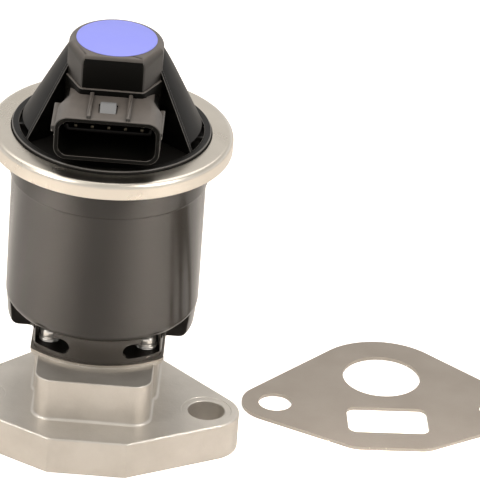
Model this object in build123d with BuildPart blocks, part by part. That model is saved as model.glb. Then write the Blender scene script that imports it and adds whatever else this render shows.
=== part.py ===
from build123d import *

import os
from math import atan2, cos, degrees, radians, sin

# Solenoid exhaust gas recirculation valve with its flange gasket lying beside it, in millimetres.
# The origin is on the axis of the valve stem, in the plane of the flange face that bolts to the engine.
# +Z runs up the stem, and the electrical socket faces -Y.

os.makedirs("parts", exist_ok=True)

# Flange, seen from above: two bolt ears, a round back about the stem and a flat nose in front
bolt_spacing = 60.0
port_offset = 15.5  # stem axis to bolt line
ear_radius = 8.8
flange_thickness = 10.4
flange_back_radius = 18.8
nose_half_width = 10.4
nose_reach = 21.1  # bolt line to nose
nose_round = 0.8
cast_edge = 0.5
bolt_hole_radius = 4.85
spot_face_radius = 6.6
spot_face_depth = 0.3

# Casting above the flange: a block over the outlet port, and a pad that carries the solenoid
block_height = 11.8  # above the flange
block_half_width = 15.4
block_front = 26.9
block_corner = 4.6
pad_half_width = 16.4
pad_front = 17.7
pad_shoulder = 12.2  # where the front arc of the pad meets its flat side
foot_fillet = 1.2
lip_height = 0.4
lip_overhang = 1.2

# Gas passages
inlet_radius = 10.6
inlet_length = 5.0
inlet_chamber_radius = 11.6
outlet_width = 21.8
outlet_depth = 13.0
outlet_center = 7.8  # bolt line to centre of the outlet port
outlet_corner = 2.5
outlet_rise = 6.0  # height of the full-size port inside the flange
chamber_radius = 10.8
roof_thickness = 2.6
chamber_height = 4.0  # above the seat
bridge_half_width = 8.8
front_wall = 2.6

# Valve seat and pintle
seat_thickness = 2.8
seat_outer_radius = 10.15
seat_bore_radius = 7.4
seat_chamfer = 1.2
seat_ledge_width = 0.95
seat_ledge_height = 0.8
stem_radius = 3.0
running_clearance = 0.05
seat_clearance = 0.03
head_thickness = 3.2
head_dish = 1.0
fairing_radius = 6.2
fairing_rise = 1.6  # above the seat
stroke = 4.0
bush_radius = 5.0
bush_flange_radius = 6.6
bush_flange_thickness = 0.9
bush_drop = 1.8

# Solenoid can, drawn from sheet, with its necked foot
gasket_thickness = 0.6
sheet = 1.2
neck_half_width = 17.05
neck_front = 18.2
neck_shoulder = 10.9
neck_corner = 2.0
neck_floor = 1.4
neck_hole_radius = 7.0
neck_height = 9.9
can_radius = 25.5
can_edge_radius = 3.0
can_height = 48.3
can_collar = 9.8  # wider band below the clinch flange
can_flare = 0.5
window_inner = 7.05  # half the width of the web between the two front windows
window_height = 4.2
window_step = 11.6  # from here outwards the window is taller, over the screw's head
window_rise = 7.4
ear_half_depth = 9.0
ear_drop = 4.75  # below the can's floor
ear_corner = 1.5
ear_draft = 0.9
ear_rise = 3.0  # how far the drawn ear runs up inside the can's wall

# Screws that hold the can's foot to the casting
screw_x = 12.8
screw_y = 8.0
screw_radius = 2.0
screw_depth = 8.0
screw_head_radius = 2.3
screw_head_height = 3.4
screw_flange_radius = 2.9
screw_flange_thickness = 0.8
screw_socket_radius = 1.4
screw_socket_depth = 1.4
thread_clearance = 0.05

# Magnetic circuit inside the can
coil_clearance = 0.1
lower_stator_thickness = 4.0
upper_stator_thickness = 4.0
spigot_reach = 3.4  # from the can's rim down to the upper stator
pole_radius = 11.9
lower_pole_length = 12.8
pole_gap = 4.0
stem_hole_radius = 3.3
plug_floor = 2.0  # thickness under the return spring
plug_height = 2.0
plug_gap = 0.6
bobbin_wall = 1.3
bobbin_flange = 1.5
bobbin_radius = 21.5
winding_radius = 20.4
sleeve_wall = 0.6
armature_radius = 8.6
armature_clearance = 0.06
armature_length = 20.0
armature_gap = 0.6  # above the armature at rest
spring_pocket_radius = 6.4
spring_pocket_depth = 8.0
spring_mean_radius = 5.3
spring_wire = 0.55
spring_turns = 6
stem_thread_radius = 2.4
nut_radius = 4.6
nut_height = 2.4

# Clinch ring and the moulded cap
ring_sheet = 0.8
ring_top_round = 1.5
ring_bottom_round = 0.5
clinch_width = 4.7  # can's flange beyond its collar
clinch_gap = 0.4  # between the flanges and the ring's wall
clinch_clearance = 0.1
can_flange = 1.2
seal_thickness = 0.5
cap_flange = 1.3
cap_radius = 26.0
cap_rim_height = 1.6
cap_rim_width = 2.0
cap_rim_round = 0.35
cap_floor = 0.7
spigot_wall = 1.6
spigot_clearance = 0.08

# Sensor tower on the cap
tower_height = 26.0  # above the cap's floor
tower_radius = 12.3
tower_front = 12.0
tower_face_half_width = 8.0
tower_chamfer_end = 3.6
tower_edge = 1.1
ledge_drop = 8.9  # below the tower's top
ledge_width = 0.6
sensor_bore_radius = 8.2
tower_roof = 2.3
tower_corner = 0.8

# Buttress wings on both sides of the tower
wing_drop = 2.5  # below the tower's top
wing_top_inset = 0.95  # inside the tower's wall
wing_lean = 3.8  # how far back the middle of the wings' cone is at its top
wing_foot_radius = 23.9
wing_foot_rise = 1.0
wing_front_x = 21.2
wing_front_y = 12.1
pocket_inner_x = 20.7
pocket_plate = 1.0
pocket_rear = 3.6
pocket_web = 1.1
pocket_web_y = 2.8
wing_tower_x = 11.8
wing_tower_y = 4.0

# Connector shroud
shroud_half_width = 13.6
shroud_neck_half_width = 11.4
shroud_neck_y = 17.0
shroud_lift = 3.5  # above the cap's floor
shroud_height = 12.0
shroud_mouth = 26.3
shroud_corner = 3.4
shroud_wall = 1.2
mouth_round = 0.35
socket_back = 10.6
key_rib_x = 5.0
key_rib_width = 1.1
key_rib_height = 0.9
key_rib_setback = 0.9
side_rail_width = 0.9
side_rail_height = 1.8
side_rail_lift = 8.1  # above the shroud's underside
side_rail_root = 0.5
latch_half_width = 2.1
latch_rear = 17.2
latch_front = 21.7
latch_height = 1.1
socket_corner = 2.6
pedestal_half_width = 9.6
pedestal_front = 17.5

# Terminals
pin_count = 5
pin_pitch = 4.27
pin_size = 0.9
pin_lift = 5.6  # above the shroud's underside
pin_tip = 18.0
pin_root = 9.4
tongue_half_width = 11.2
tongue_height = 3.6
tongue_wall = 0.8
tongue_lift = 0.4  # above the pins' middle

# Position sensor
plunger_radius = 2.0
plunger_clearance = 0.1
plunger_gap = 0.05
plunger_tip = 4.0
collar_lift = 7.5  # above the cap's floor
collar_radius = 4.2
collar_thickness = 1.6
sensor_spring_radius = 3.1
sensor_spring_wire = 0.3
sensor_spring_turns = 6
board_thickness = 0.8
board_half_width = 4.0
board_y = 6.2
board_lift = 0.5
wiper_thickness = 0.3
wiper_half_width = 1.5
wiper_gap = 0.1
wiper_arm = 3.5

# Label
label_radius = 10.5
label_thickness = 0.15

# Loose flange gasket that lies beside the valve
loose_gasket_x = 78.0
loose_gasket_y = 10.2
loose_gasket_turn = 5.2
loose_gasket_thickness = 0.9
loose_bolt_hole_radius = 4.56
loose_ear_radius = 9.0
loose_back_radius = 19.0
loose_nose_half_width = 10.0
loose_nose_reach = 22.1
loose_nose_round = 7.0

# Levels and radii that follow from the sizes above
body_top = flange_thickness + block_height
chamber_roof = body_top - roof_thickness
seat_top = chamber_roof - chamber_height
seat_bottom = seat_top - seat_thickness
head_bottom = seat_bottom - head_thickness
fairing_top = seat_top + fairing_rise
lip_half_width = pad_half_width + lip_overhang
lip_front = pad_front + lip_overhang
gasket_bottom = body_top + lip_height
neck_bottom = gasket_bottom + gasket_thickness
neck_floor_top = neck_bottom + neck_floor
can_floor_bottom = neck_bottom + neck_height
can_floor_top = can_floor_bottom + sheet
can_bore = can_radius - sheet
can_inner_edge = can_edge_radius - sheet
can_flange_top = can_floor_bottom + can_height
can_flange_bottom = can_flange_top - can_flange
can_flare_height = can_flange_bottom - can_collar
ear_bottom = can_floor_bottom - ear_drop
ring_bottom = can_flange_bottom - ring_sheet
clinch_radius = can_radius + can_flare + clinch_width
ring_radius = clinch_radius + clinch_gap + ring_sheet
cap_flange_bottom = can_flange_top + seal_thickness
cap_flange_top = cap_flange_bottom + cap_flange
ring_top = cap_flange_top + ring_sheet
lower_stator_bottom = can_floor_top
lower_stator_top = lower_stator_bottom + lower_stator_thickness
spring_seat = lower_stator_bottom + plug_floor
plug_top = lower_stator_top + plug_height
pole_gap_bottom = lower_stator_top + lower_pole_length
pole_gap_top = pole_gap_bottom + pole_gap
stator_top = can_flange_top - spigot_reach
upper_stator_bottom = stator_top - upper_stator_thickness
stator_radius = can_bore - coil_clearance
sleeve_bore = armature_radius + armature_clearance
sleeve_radius = sleeve_bore + sleeve_wall
armature_bottom = plug_top + plug_gap + stroke
armature_top = armature_bottom + armature_length
spring_pocket_roof = armature_bottom + spring_pocket_depth
stem_top = armature_top + nut_height
sleeve_top = stem_top + armature_gap
cap_floor_top = cap_flange_top + cap_floor
cap_rim_top = cap_flange_top + cap_rim_height
spigot_radius = can_bore - spigot_clearance
tower_top = cap_floor_top + tower_height
ledge_height = tower_top - ledge_drop
sensor_roof = tower_top - tower_roof
wing_top = tower_top - wing_drop
wing_top_radius = tower_radius - wing_top_inset
wing_foot_height = cap_floor_top + wing_foot_rise
shroud_bottom = cap_floor_top + shroud_lift
shroud_top = shroud_bottom + shroud_height
side_rail_level = shroud_bottom + side_rail_lift
pin_level = shroud_bottom + pin_lift
tongue_level = pin_level + tongue_lift
collar_bottom = cap_floor_top + collar_lift
plunger_top = collar_bottom + collar_thickness + plunger_tip
board_bottom = cap_floor_top + board_lift
bolt_line = -port_offset
outlet_y = bolt_line - outlet_center


def flange_outline(ear, back, half_nose, reach, corner, back_center):
    """Outline of the two-bolt flange about its bolt line: tangents over two ears, a back and a nose."""
    with BuildSketch() as outline:
        with BuildLine():
            for side in (-1, 1):
                CenterArc((side * bolt_spacing / 2, 0), ear, 0, 360)
            CenterArc((0, back_center), back, 0, 360)
            Line((-half_nose, -reach), (half_nose, -reach))
        make_hull()
        fillet(outline.vertices().group_by(Axis.Y)[0], corner)
    return outline.sketch


def barrel_outline(half_width, front, shoulder, corner):
    """Outline with flat sides and bowed front and back, as the can's foot and its pad have."""
    with BuildSketch() as outline:
        with BuildLine():
            ThreePointArc((-half_width, -shoulder), (0, -front), (half_width, -shoulder))
            Line((half_width, -shoulder), (half_width, shoulder))
            ThreePointArc((half_width, shoulder), (0, front), (-half_width, shoulder))
            Line((-half_width, shoulder), (-half_width, -shoulder))
        make_face()
        fillet(outline.vertices(), corner)
    return outline.sketch


def turned(*points, mode=Mode.ADD):
    """Profile of radius and height pairs, turned about the stem axis into the part being built."""
    with BuildSketch(Plane.XZ) as profile:
        with BuildLine():
            Polyline(*points, close=True)
        make_face()
    return revolve(profile.sketch, axis=Axis.Z, mode=mode)


def coil_spring(mean_radius, wire, bottom, top, turns):
    """Open helical spring whose end wires rest on the planes at bottom and top."""
    low = bottom + wire
    rise = top - bottom - 2 * wire
    with BuildPart() as spring:
        with BuildLine() as path:
            Helix(pitch=rise / turns, height=rise, radius=mean_radius, center=(0, 0, low))
        with BuildSketch(Plane(origin=path.line @ 0, z_dir=path.line % 0)):
            RegularPolygon(wire, 6)
        sweep(path=path.line, is_frenet=True)
    return spring.part


def ear_blocks(inset):
    """Pair of drawn ears at the sides of the can's floor, set in from their skin by inset."""
    bottom = ear_bottom + inset
    top = can_floor_top + ear_rise
    inner = neck_half_width - 2 * sheet
    with BuildPart() as ears:
        for side in (-1, 1):
            with Locations((side * (inner + can_radius) / 2, 0, (bottom + top) / 2)):
                Box(can_radius - inner, 2 * (ear_half_depth - inset), top - bottom)
        turned(
            (0, bottom),
            (can_radius - ear_draft - inset, bottom),
            (can_radius - inset, top),
            (0, top),
            mode=Mode.INTERSECT,
        )
        fillet(ears.edges().filter_by(GeomType.CIRCLE).group_by(Axis.Z)[0], ear_corner - inset)
    return ears.part


def tower_outline(grow):
    """Plan of the sensor tower: flat front, two slanted cheeks and a round back."""
    with BuildSketch() as outline:
        Circle(tower_radius + grow)
        with BuildLine():
            Polyline(
                (-tower_radius - grow, 0),
                (-tower_radius - grow, -tower_chamfer_end),
                (-tower_face_half_width - grow / 2, -tower_front - grow),
                (tower_face_half_width + grow / 2, -tower_front - grow),
                (tower_radius + grow, -tower_chamfer_end),
                (tower_radius + grow, 0),
                close=True,
            )
        make_face()
        rows = outline.vertices().group_by(Axis.Y)
        fillet(rows[0] + rows[1], tower_corner + grow)
    return outline.sketch


# Cast body with the flange, the outlet block and the pad for the solenoid
with BuildPart() as valve_body:
    with BuildSketch(Plane.XY):
        with Locations((0, bolt_line)):
            add(
                flange_outline(
                    ear_radius, flange_back_radius, nose_half_width, nose_reach, nose_round, port_offset
                )
            )
        add(barrel_outline(pad_half_width, pad_front, pad_shoulder, neck_corner))
    extrude(amount=flange_thickness)
    with BuildSketch(Plane.XY.offset(flange_thickness)):
        add(barrel_outline(pad_half_width, pad_front, pad_shoulder, neck_corner))
        with Locations((0, -block_front / 2)):
            RectangleRounded(2 * block_half_width, block_front, block_corner)
    extrude(amount=body_top - flange_thickness)
    foot_edges = (
        valve_body.edges()
        .filter_by_position(Axis.Z, flange_thickness, flange_thickness)
        .filter_by_position(Axis.X, -block_half_width, block_half_width)
        .filter_by_position(Axis.Y, -block_front, -pad_shoulder)
    )
    fillet(foot_edges, foot_fillet)
    top_edges = valve_body.faces().sort_by(Axis.Z)[-1].edges()
    fillet(top_edges.filter_by_position(Axis.Y, -block_front, -pad_front), cast_edge)
    with BuildSketch(Plane.XY.offset(body_top)):
        add(barrel_outline(lip_half_width, lip_front, pad_shoulder, neck_corner))
    extrude(amount=lip_height)
    turned(
        (0, 0),
        (inlet_radius, 0),
        (inlet_radius, inlet_length),
        (inlet_chamber_radius, inlet_length + inlet_chamber_radius - inlet_radius),
        (inlet_chamber_radius, seat_bottom),
        (seat_outer_radius, seat_bottom),
        (seat_outer_radius, seat_top),
        (seat_outer_radius - seat_ledge_width, seat_top),
        (seat_outer_radius - seat_ledge_width, seat_top + seat_ledge_height),
        (chamber_radius, seat_top + seat_ledge_height),
        (chamber_radius, chamber_roof),
        (bush_radius, chamber_roof),
        (bush_radius, gasket_bottom),
        (0, gasket_bottom),
        mode=Mode.SUBTRACT,
    )
    with BuildSketch(Plane.XY):
        with Locations((0, outlet_y)):
            RectangleRounded(outlet_width, outlet_depth, outlet_corner)
    extrude(amount=outlet_rise, mode=Mode.SUBTRACT)
    outlet_back = outlet_y + outlet_depth / 2
    outlet_front = front_wall - block_front
    with BuildSketch(Plane.XY.offset(outlet_rise)):
        with Locations((0, (outlet_back + outlet_front) / 2)):
            RectangleRounded(outlet_width, outlet_back - outlet_front, outlet_corner)
    extrude(amount=chamber_roof - outlet_rise, mode=Mode.SUBTRACT)
    with BuildSketch(Plane.XY.offset(seat_top + seat_ledge_height)):
        with Locations((0, outlet_back / 2 - outlet_corner / 2)):
            Rectangle(2 * bridge_half_width, -outlet_back + outlet_corner)
    extrude(amount=chamber_roof - seat_top - seat_ledge_height, mode=Mode.SUBTRACT)
    with Locations((0, bolt_line, flange_thickness)):
        with GridLocations(bolt_spacing, 0, 2, 1):
            CounterBoreHole(bolt_hole_radius, spot_face_radius, spot_face_depth, flange_thickness)
    with Locations((0, 0, gasket_bottom)):
        with GridLocations(2 * screw_x, 2 * screw_y, 2, 2):
            Hole(screw_radius, screw_depth)
valve_body.part.label = "valve_body"
export_step(valve_body.part, "parts/valve_body.step")

# Seat ring, pressed up against its ledge from below
with BuildPart() as valve_seat:
    turned(
        (seat_bore_radius + seat_chamfer, seat_bottom),
        (seat_outer_radius, seat_bottom),
        (seat_outer_radius, seat_top),
        (seat_bore_radius, seat_top),
        (seat_bore_radius, seat_bottom + seat_chamfer),
    )
valve_seat.part.label = "valve_seat"
export_step(valve_seat.part, "parts/valve_seat.step")

# Pintle: its cone closes the seat from below, and it opens downwards
head_radius = seat_bore_radius + seat_chamfer
cone_foot = seat_bottom - seat_clearance
cone_top = cone_foot + head_radius - fairing_radius
with BuildPart() as pintle:
    turned(
        (0, head_bottom + head_dish),
        (fairing_radius, head_bottom + head_dish),
        (fairing_radius + head_dish, head_bottom),
        (head_radius - head_dish / 2, head_bottom),
        (head_radius, head_bottom + head_dish / 2),
        (head_radius, cone_foot),
        (fairing_radius, cone_top),
        (fairing_radius / 2 + stem_radius / 2, cone_top + (fairing_top - cone_top) / 4),
        (stem_radius, fairing_top),
        (stem_radius, spring_pocket_roof),
        (stem_thread_radius, spring_pocket_roof),
        (stem_thread_radius, stem_top),
        (0, stem_top),
    )
pintle.part.label = "pintle"
export_step(pintle.part, "parts/pintle.step")

# Flanged bush that guides the stem through the casting's roof
with BuildPart() as stem_bush:
    turned(
        (stem_radius + running_clearance, chamber_roof - bush_drop),
        (bush_radius - bush_drop / 4, chamber_roof - bush_drop),
        (bush_radius, chamber_roof - bush_drop / 2),
        (bush_radius, gasket_bottom),
        (bush_flange_radius, gasket_bottom),
        (bush_flange_radius, gasket_bottom + bush_flange_thickness),
        (stem_radius + running_clearance, gasket_bottom + bush_flange_thickness),
    )
stem_bush.part.label = "stem_bush"
export_step(stem_bush.part, "parts/stem_bush.step")

# Heat gasket between the casting and the can's foot
with BuildPart() as body_gasket:
    with BuildSketch(Plane.XY.offset(gasket_bottom)):
        add(barrel_outline(lip_half_width, lip_front, pad_shoulder, neck_corner))
        Circle(neck_hole_radius, mode=Mode.SUBTRACT)
        with GridLocations(2 * screw_x, 2 * screw_y, 2, 2):
            Circle(screw_radius + thread_clearance, mode=Mode.SUBTRACT)
    extrude(amount=gasket_thickness)
body_gasket.part.label = "body_gasket"
export_step(body_gasket.part, "parts/body_gasket.step")

# Solenoid can: one drawn shell with a necked foot, vent windows, ears and a flange for the clinch
ear_shell = ear_blocks(0)
ear_hollow = ear_blocks(sheet)
with BuildPart() as housing_can:
    with BuildSketch(Plane.XZ) as can_profile:
        with BuildLine():
            Polyline(
                (0, can_floor_bottom),
                (can_radius, can_floor_bottom),
                (can_radius, can_flare_height),
                (can_radius + can_flare, can_flare_height + can_flare),
                (can_radius + can_flare, can_flange_bottom),
                (clinch_radius, can_flange_bottom),
                (clinch_radius, can_flange_top),
                (0, can_flange_top),
                close=True,
            )
        make_face()
        fillet(can_profile.vertices().group_by(Axis.Y)[0].sort_by(Axis.X)[-1], can_edge_radius)
    revolve(axis=Axis.Z)
    with BuildSketch(Plane.XY.offset(neck_bottom)):
        add(barrel_outline(neck_half_width, neck_front, neck_shoulder, neck_corner))
    extrude(amount=can_floor_top - neck_bottom)
    add(ear_shell)
    turned(
        (0, can_floor_top),
        (can_bore - can_inner_edge, can_floor_top),
        (can_bore, can_floor_top + can_inner_edge),
        (can_bore, can_flange_top),
        (0, can_flange_top),
        mode=Mode.SUBTRACT,
    )
    with BuildSketch(Plane.XY.offset(neck_floor_top)):
        add(barrel_outline(neck_half_width - sheet, neck_front - sheet, neck_shoulder, neck_corner - sheet))
    extrude(amount=can_floor_top - neck_floor_top, mode=Mode.SUBTRACT)
    add(ear_hollow, mode=Mode.SUBTRACT)
    window_end = window_inner + window_height / 2
    window_reach = neck_half_width - sheet - window_end
    step_reach = neck_half_width - sheet - window_step
    with BuildSketch(Plane.XZ):
        for side in (-1, 1):
            with Locations((side * window_end, neck_floor_top + window_height / 2)):
                Circle(window_height / 2)
            with Locations((side * (window_end + window_reach / 2), neck_floor_top + window_height / 2)):
                Rectangle(window_reach, window_height)
            with Locations((side * (window_step + step_reach / 2), neck_floor_top + window_rise / 2)):
                Rectangle(step_reach, window_rise)
    extrude(amount=neck_front, both=True, mode=Mode.SUBTRACT)
    with Locations((0, 0, neck_floor_top)):
        Hole(neck_hole_radius, neck_floor)
        with GridLocations(2 * screw_x, 2 * screw_y, 2, 2):
            Hole(screw_radius + thread_clearance, neck_floor)
housing_can.part.label = "housing_can"
export_step(housing_can.part, "parts/housing_can.step")

# Four screws, reached through the windows, with flanged heads and hexagon sockets
with BuildPart() as can_screws:
    with BuildSketch(Plane.XY.offset(gasket_bottom - screw_depth + thread_clearance)):
        with GridLocations(2 * screw_x, 2 * screw_y, 2, 2):
            Circle(screw_radius - thread_clearance)
    extrude(amount=neck_floor_top - gasket_bottom + screw_depth - thread_clearance)
    with BuildSketch(Plane.XY.offset(neck_floor_top)):
        with GridLocations(2 * screw_x, 2 * screw_y, 2, 2):
            Circle(screw_flange_radius)
    extrude(amount=screw_flange_thickness)
    screw_head_bottom = neck_floor_top + screw_flange_thickness
    with BuildSketch(Plane.XY.offset(screw_head_bottom)):
        with GridLocations(2 * screw_x, 2 * screw_y, 2, 2):
            Circle(screw_head_radius)
    extrude(amount=screw_head_height)
    with BuildSketch(Plane.XY.offset(screw_head_bottom + screw_head_height - screw_socket_depth)):
        with GridLocations(2 * screw_x, 2 * screw_y, 2, 2):
            RegularPolygon(screw_socket_radius, 6)
    extrude(amount=screw_socket_depth, mode=Mode.SUBTRACT)
can_screws.part.label = "can_screws"
export_step(can_screws.part, "parts/can_screws.step")

# Lower stator: plate on the can's floor, outer pole round the sleeve and a plug that seats the spring
with BuildPart() as lower_stator:
    turned(
        (stem_hole_radius, lower_stator_bottom),
        (stator_radius - can_inner_edge, lower_stator_bottom),
        (stator_radius, lower_stator_bottom + can_inner_edge),
        (stator_radius, lower_stator_top),
        (pole_radius, lower_stator_top),
        (pole_radius, pole_gap_bottom),
        (sleeve_radius, pole_gap_bottom),
        (sleeve_radius, lower_stator_top),
        (sleeve_bore, lower_stator_top),
        (sleeve_bore, plug_top),
        (spring_pocket_radius, plug_top),
        (spring_pocket_radius, spring_seat),
        (stem_hole_radius, spring_seat),
    )
lower_stator.part.label = "lower_stator"
export_step(lower_stator.part, "parts/lower_stator.step")

# Upper stator: plate under the cap with the pole that meets the lower one across the gap
with BuildPart() as upper_stator:
    turned(
        (sleeve_radius, pole_gap_top),
        (pole_radius, pole_gap_top),
        (pole_radius, upper_stator_bottom),
        (stator_radius, upper_stator_bottom),
        (stator_radius, stator_top),
        (plunger_radius + plunger_clearance, stator_top),
        (plunger_radius + plunger_clearance, sleeve_top),
        (sleeve_radius, sleeve_top),
    )
upper_stator.part.label = "upper_stator"
export_step(upper_stator.part, "parts/upper_stator.step")

# Thin sleeve that guides the armature
with BuildPart() as armature_sleeve:
    turned(
        (sleeve_bore, lower_stator_top),
        (sleeve_radius, lower_stator_top),
        (sleeve_radius, sleeve_top),
        (sleeve_bore, sleeve_top),
    )
armature_sleeve.part.label = "armature_sleeve"
export_step(armature_sleeve.part, "parts/armature_sleeve.step")

# Moulded bobbin and its winding
bobbin_bore = pole_radius + coil_clearance
winding_bore = bobbin_bore + bobbin_wall
with BuildPart() as coil_bobbin:
    turned(
        (bobbin_bore, lower_stator_top),
        (bobbin_radius, lower_stator_top),
        (bobbin_radius, lower_stator_top + bobbin_flange),
        (winding_bore, lower_stator_top + bobbin_flange),
        (winding_bore, upper_stator_bottom - bobbin_flange),
        (bobbin_radius, upper_stator_bottom - bobbin_flange),
        (bobbin_radius, upper_stator_bottom),
        (bobbin_bore, upper_stator_bottom),
    )
coil_bobbin.part.label = "coil_bobbin"
export_step(coil_bobbin.part, "parts/coil_bobbin.step")

with BuildPart() as coil_winding:
    turned(
        (winding_bore, lower_stator_top + bobbin_flange),
        (winding_radius, lower_stator_top + bobbin_flange),
        (winding_radius, upper_stator_bottom - bobbin_flange),
        (winding_bore, upper_stator_bottom - bobbin_flange),
    )
coil_winding.part.label = "coil_winding"
export_step(coil_winding.part, "parts/coil_winding.step")

# Armature with the spring pocket in its foot, and the nut that ties it to the stem
with BuildPart() as armature:
    turned(
        (spring_pocket_radius, armature_bottom),
        (armature_radius, armature_bottom),
        (armature_radius, armature_top),
        (stem_thread_radius, armature_top),
        (stem_thread_radius, spring_pocket_roof),
        (spring_pocket_radius, spring_pocket_roof),
    )
armature.part.label = "armature"
export_step(armature.part, "parts/armature.step")

with BuildPart() as armature_nut:
    with BuildSketch(Plane.XY.offset(armature_top)):
        RegularPolygon(nut_radius, 6)
        Circle(stem_thread_radius, mode=Mode.SUBTRACT)
    extrude(amount=nut_height)
armature_nut.part.label = "armature_nut"
export_step(armature_nut.part, "parts/armature_nut.step")

# Spring that lifts the pintle shut, between the lower stator's plug and the armature's pocket
with BuildPart() as return_spring:
    add(coil_spring(spring_mean_radius, spring_wire, spring_seat, spring_pocket_roof, spring_turns))
return_spring.part.label = "return_spring"
export_step(return_spring.part, "parts/return_spring.step")

# Seal between the can's flange and the cap
with BuildPart() as cap_seal:
    turned(
        (can_bore, can_flange_top),
        (clinch_radius, can_flange_top),
        (clinch_radius, cap_flange_bottom),
        (can_bore, cap_flange_bottom),
    )
cap_seal.part.label = "cap_seal"
export_step(cap_seal.part, "parts/cap_seal.step")

# Clinch ring rolled over the cap's flange and under the can's
with BuildPart() as crimp_ring:
    with BuildSketch(Plane.XZ) as ring_profile:
        with BuildLine():
            Polyline(
                (can_radius + can_flare + clinch_clearance, ring_bottom),
                (ring_radius, ring_bottom),
                (ring_radius, ring_top),
                (cap_radius + clinch_clearance, ring_top),
                (cap_radius + clinch_clearance, cap_flange_top),
                (ring_radius - ring_sheet, cap_flange_top),
                (ring_radius - ring_sheet, can_flange_bottom),
                (can_radius + can_flare + clinch_clearance, can_flange_bottom),
                close=True,
            )
        make_face()
        outer_corners = ring_profile.vertices().group_by(Axis.X)[-1].sort_by(Axis.Y)
        fillet(outer_corners[-1], ring_top_round)
        fillet(outer_corners[0], ring_bottom_round)
    revolve(axis=Axis.Z)
crimp_ring.part.label = "crimp_ring"
export_step(crimp_ring.part, "parts/crimp_ring.step")

# Wings of the cap: a cone that leans back about the tower, kept between slanted front and rear planes
with BuildPart() as wing_cone:
    with BuildSketch(Plane.XY.offset(cap_flange_top)):
        Circle(wing_foot_radius)
    extrude(amount=wing_foot_height - cap_flange_top)
    with BuildSketch(Plane.XY.offset(wing_foot_height)):
        Circle(wing_foot_radius)
    with BuildSketch(Plane.XY.offset(wing_top)):
        with Locations((0, wing_lean)):
            Circle(wing_top_radius)
    loft()
wing_far = 1.5
wing_reach_x = wing_tower_x + wing_far * (wing_front_x - wing_tower_x)
wing_reach_y = wing_tower_y + wing_far * (wing_front_y - wing_tower_y)
with BuildPart() as cap_wings:
    with BuildSketch(Plane.XY.offset(cap_flange_top)):
        for side in (-1, 1):
            with BuildLine():
                Polyline(
                    (0, 0),
                    (side * wing_tower_x, -wing_tower_y),
                    (side * wing_reach_x, -wing_reach_y),
                    (side * wing_reach_x, wing_reach_y),
                    (side * wing_tower_x, wing_tower_y),
                    close=True,
                )
            make_face()
    extrude(amount=wing_top - cap_flange_top)
    add(wing_cone.part, mode=Mode.INTERSECT)

# Cored pockets in the wings' feet, each with one radial web and a thin plate left in front
plate_turn = degrees(atan2(wing_front_y - wing_tower_y, wing_front_x - wing_tower_x))
with BuildPart() as wing_pockets:
    with BuildSketch(Plane.XY.offset(cap_floor_top)):
        for side in (-1, 1):
            with Locations((side * (pocket_inner_x + cap_radius) / 2, (pocket_rear - wing_reach_y) / 2)):
                Rectangle(cap_radius - pocket_inner_x, pocket_rear + wing_reach_y)
        Circle(cap_radius - cap_rim_width, mode=Mode.INTERSECT)
        for side in (-1, 1):
            with Locations((side * pocket_inner_x, -pocket_web_y)):
                Rectangle(2 * cap_radius - 2 * pocket_inner_x, pocket_web, mode=Mode.SUBTRACT)
            with Locations(Location((side * wing_front_x, -wing_front_y, 0), (0, 0, -side * plate_turn))):
                Rectangle(wing_front_x, 2 * pocket_plate, mode=Mode.SUBTRACT)
    extrude(amount=wing_top - cap_floor_top)

# Connector shroud: a rounded box towards -Y whose plan narrows to the tower
with BuildPart() as shroud_block:
    with BuildSketch(Plane.XZ):
        with Locations((0, (shroud_bottom + shroud_top) / 2)):
            RectangleRounded(2 * shroud_half_width, shroud_top - shroud_bottom, shroud_corner)
    extrude(amount=shroud_mouth)
    with BuildSketch(Plane.XY.offset(shroud_bottom)):
        with BuildLine():
            Polyline(
                (-shroud_half_width, -shroud_mouth),
                (shroud_half_width, -shroud_mouth),
                (shroud_half_width, -shroud_neck_y),
                (shroud_neck_half_width, -tower_front),
                (shroud_neck_half_width, -tower_chamfer_end),
                (-shroud_neck_half_width, -tower_chamfer_end),
                (-shroud_neck_half_width, -tower_front),
                (-shroud_half_width, -shroud_neck_y),
                close=True,
            )
        make_face()
    extrude(amount=shroud_top - shroud_bottom, mode=Mode.INTERSECT)
    fillet(shroud_block.faces().sort_by(Axis.Y)[0].edges(), mouth_round)

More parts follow.
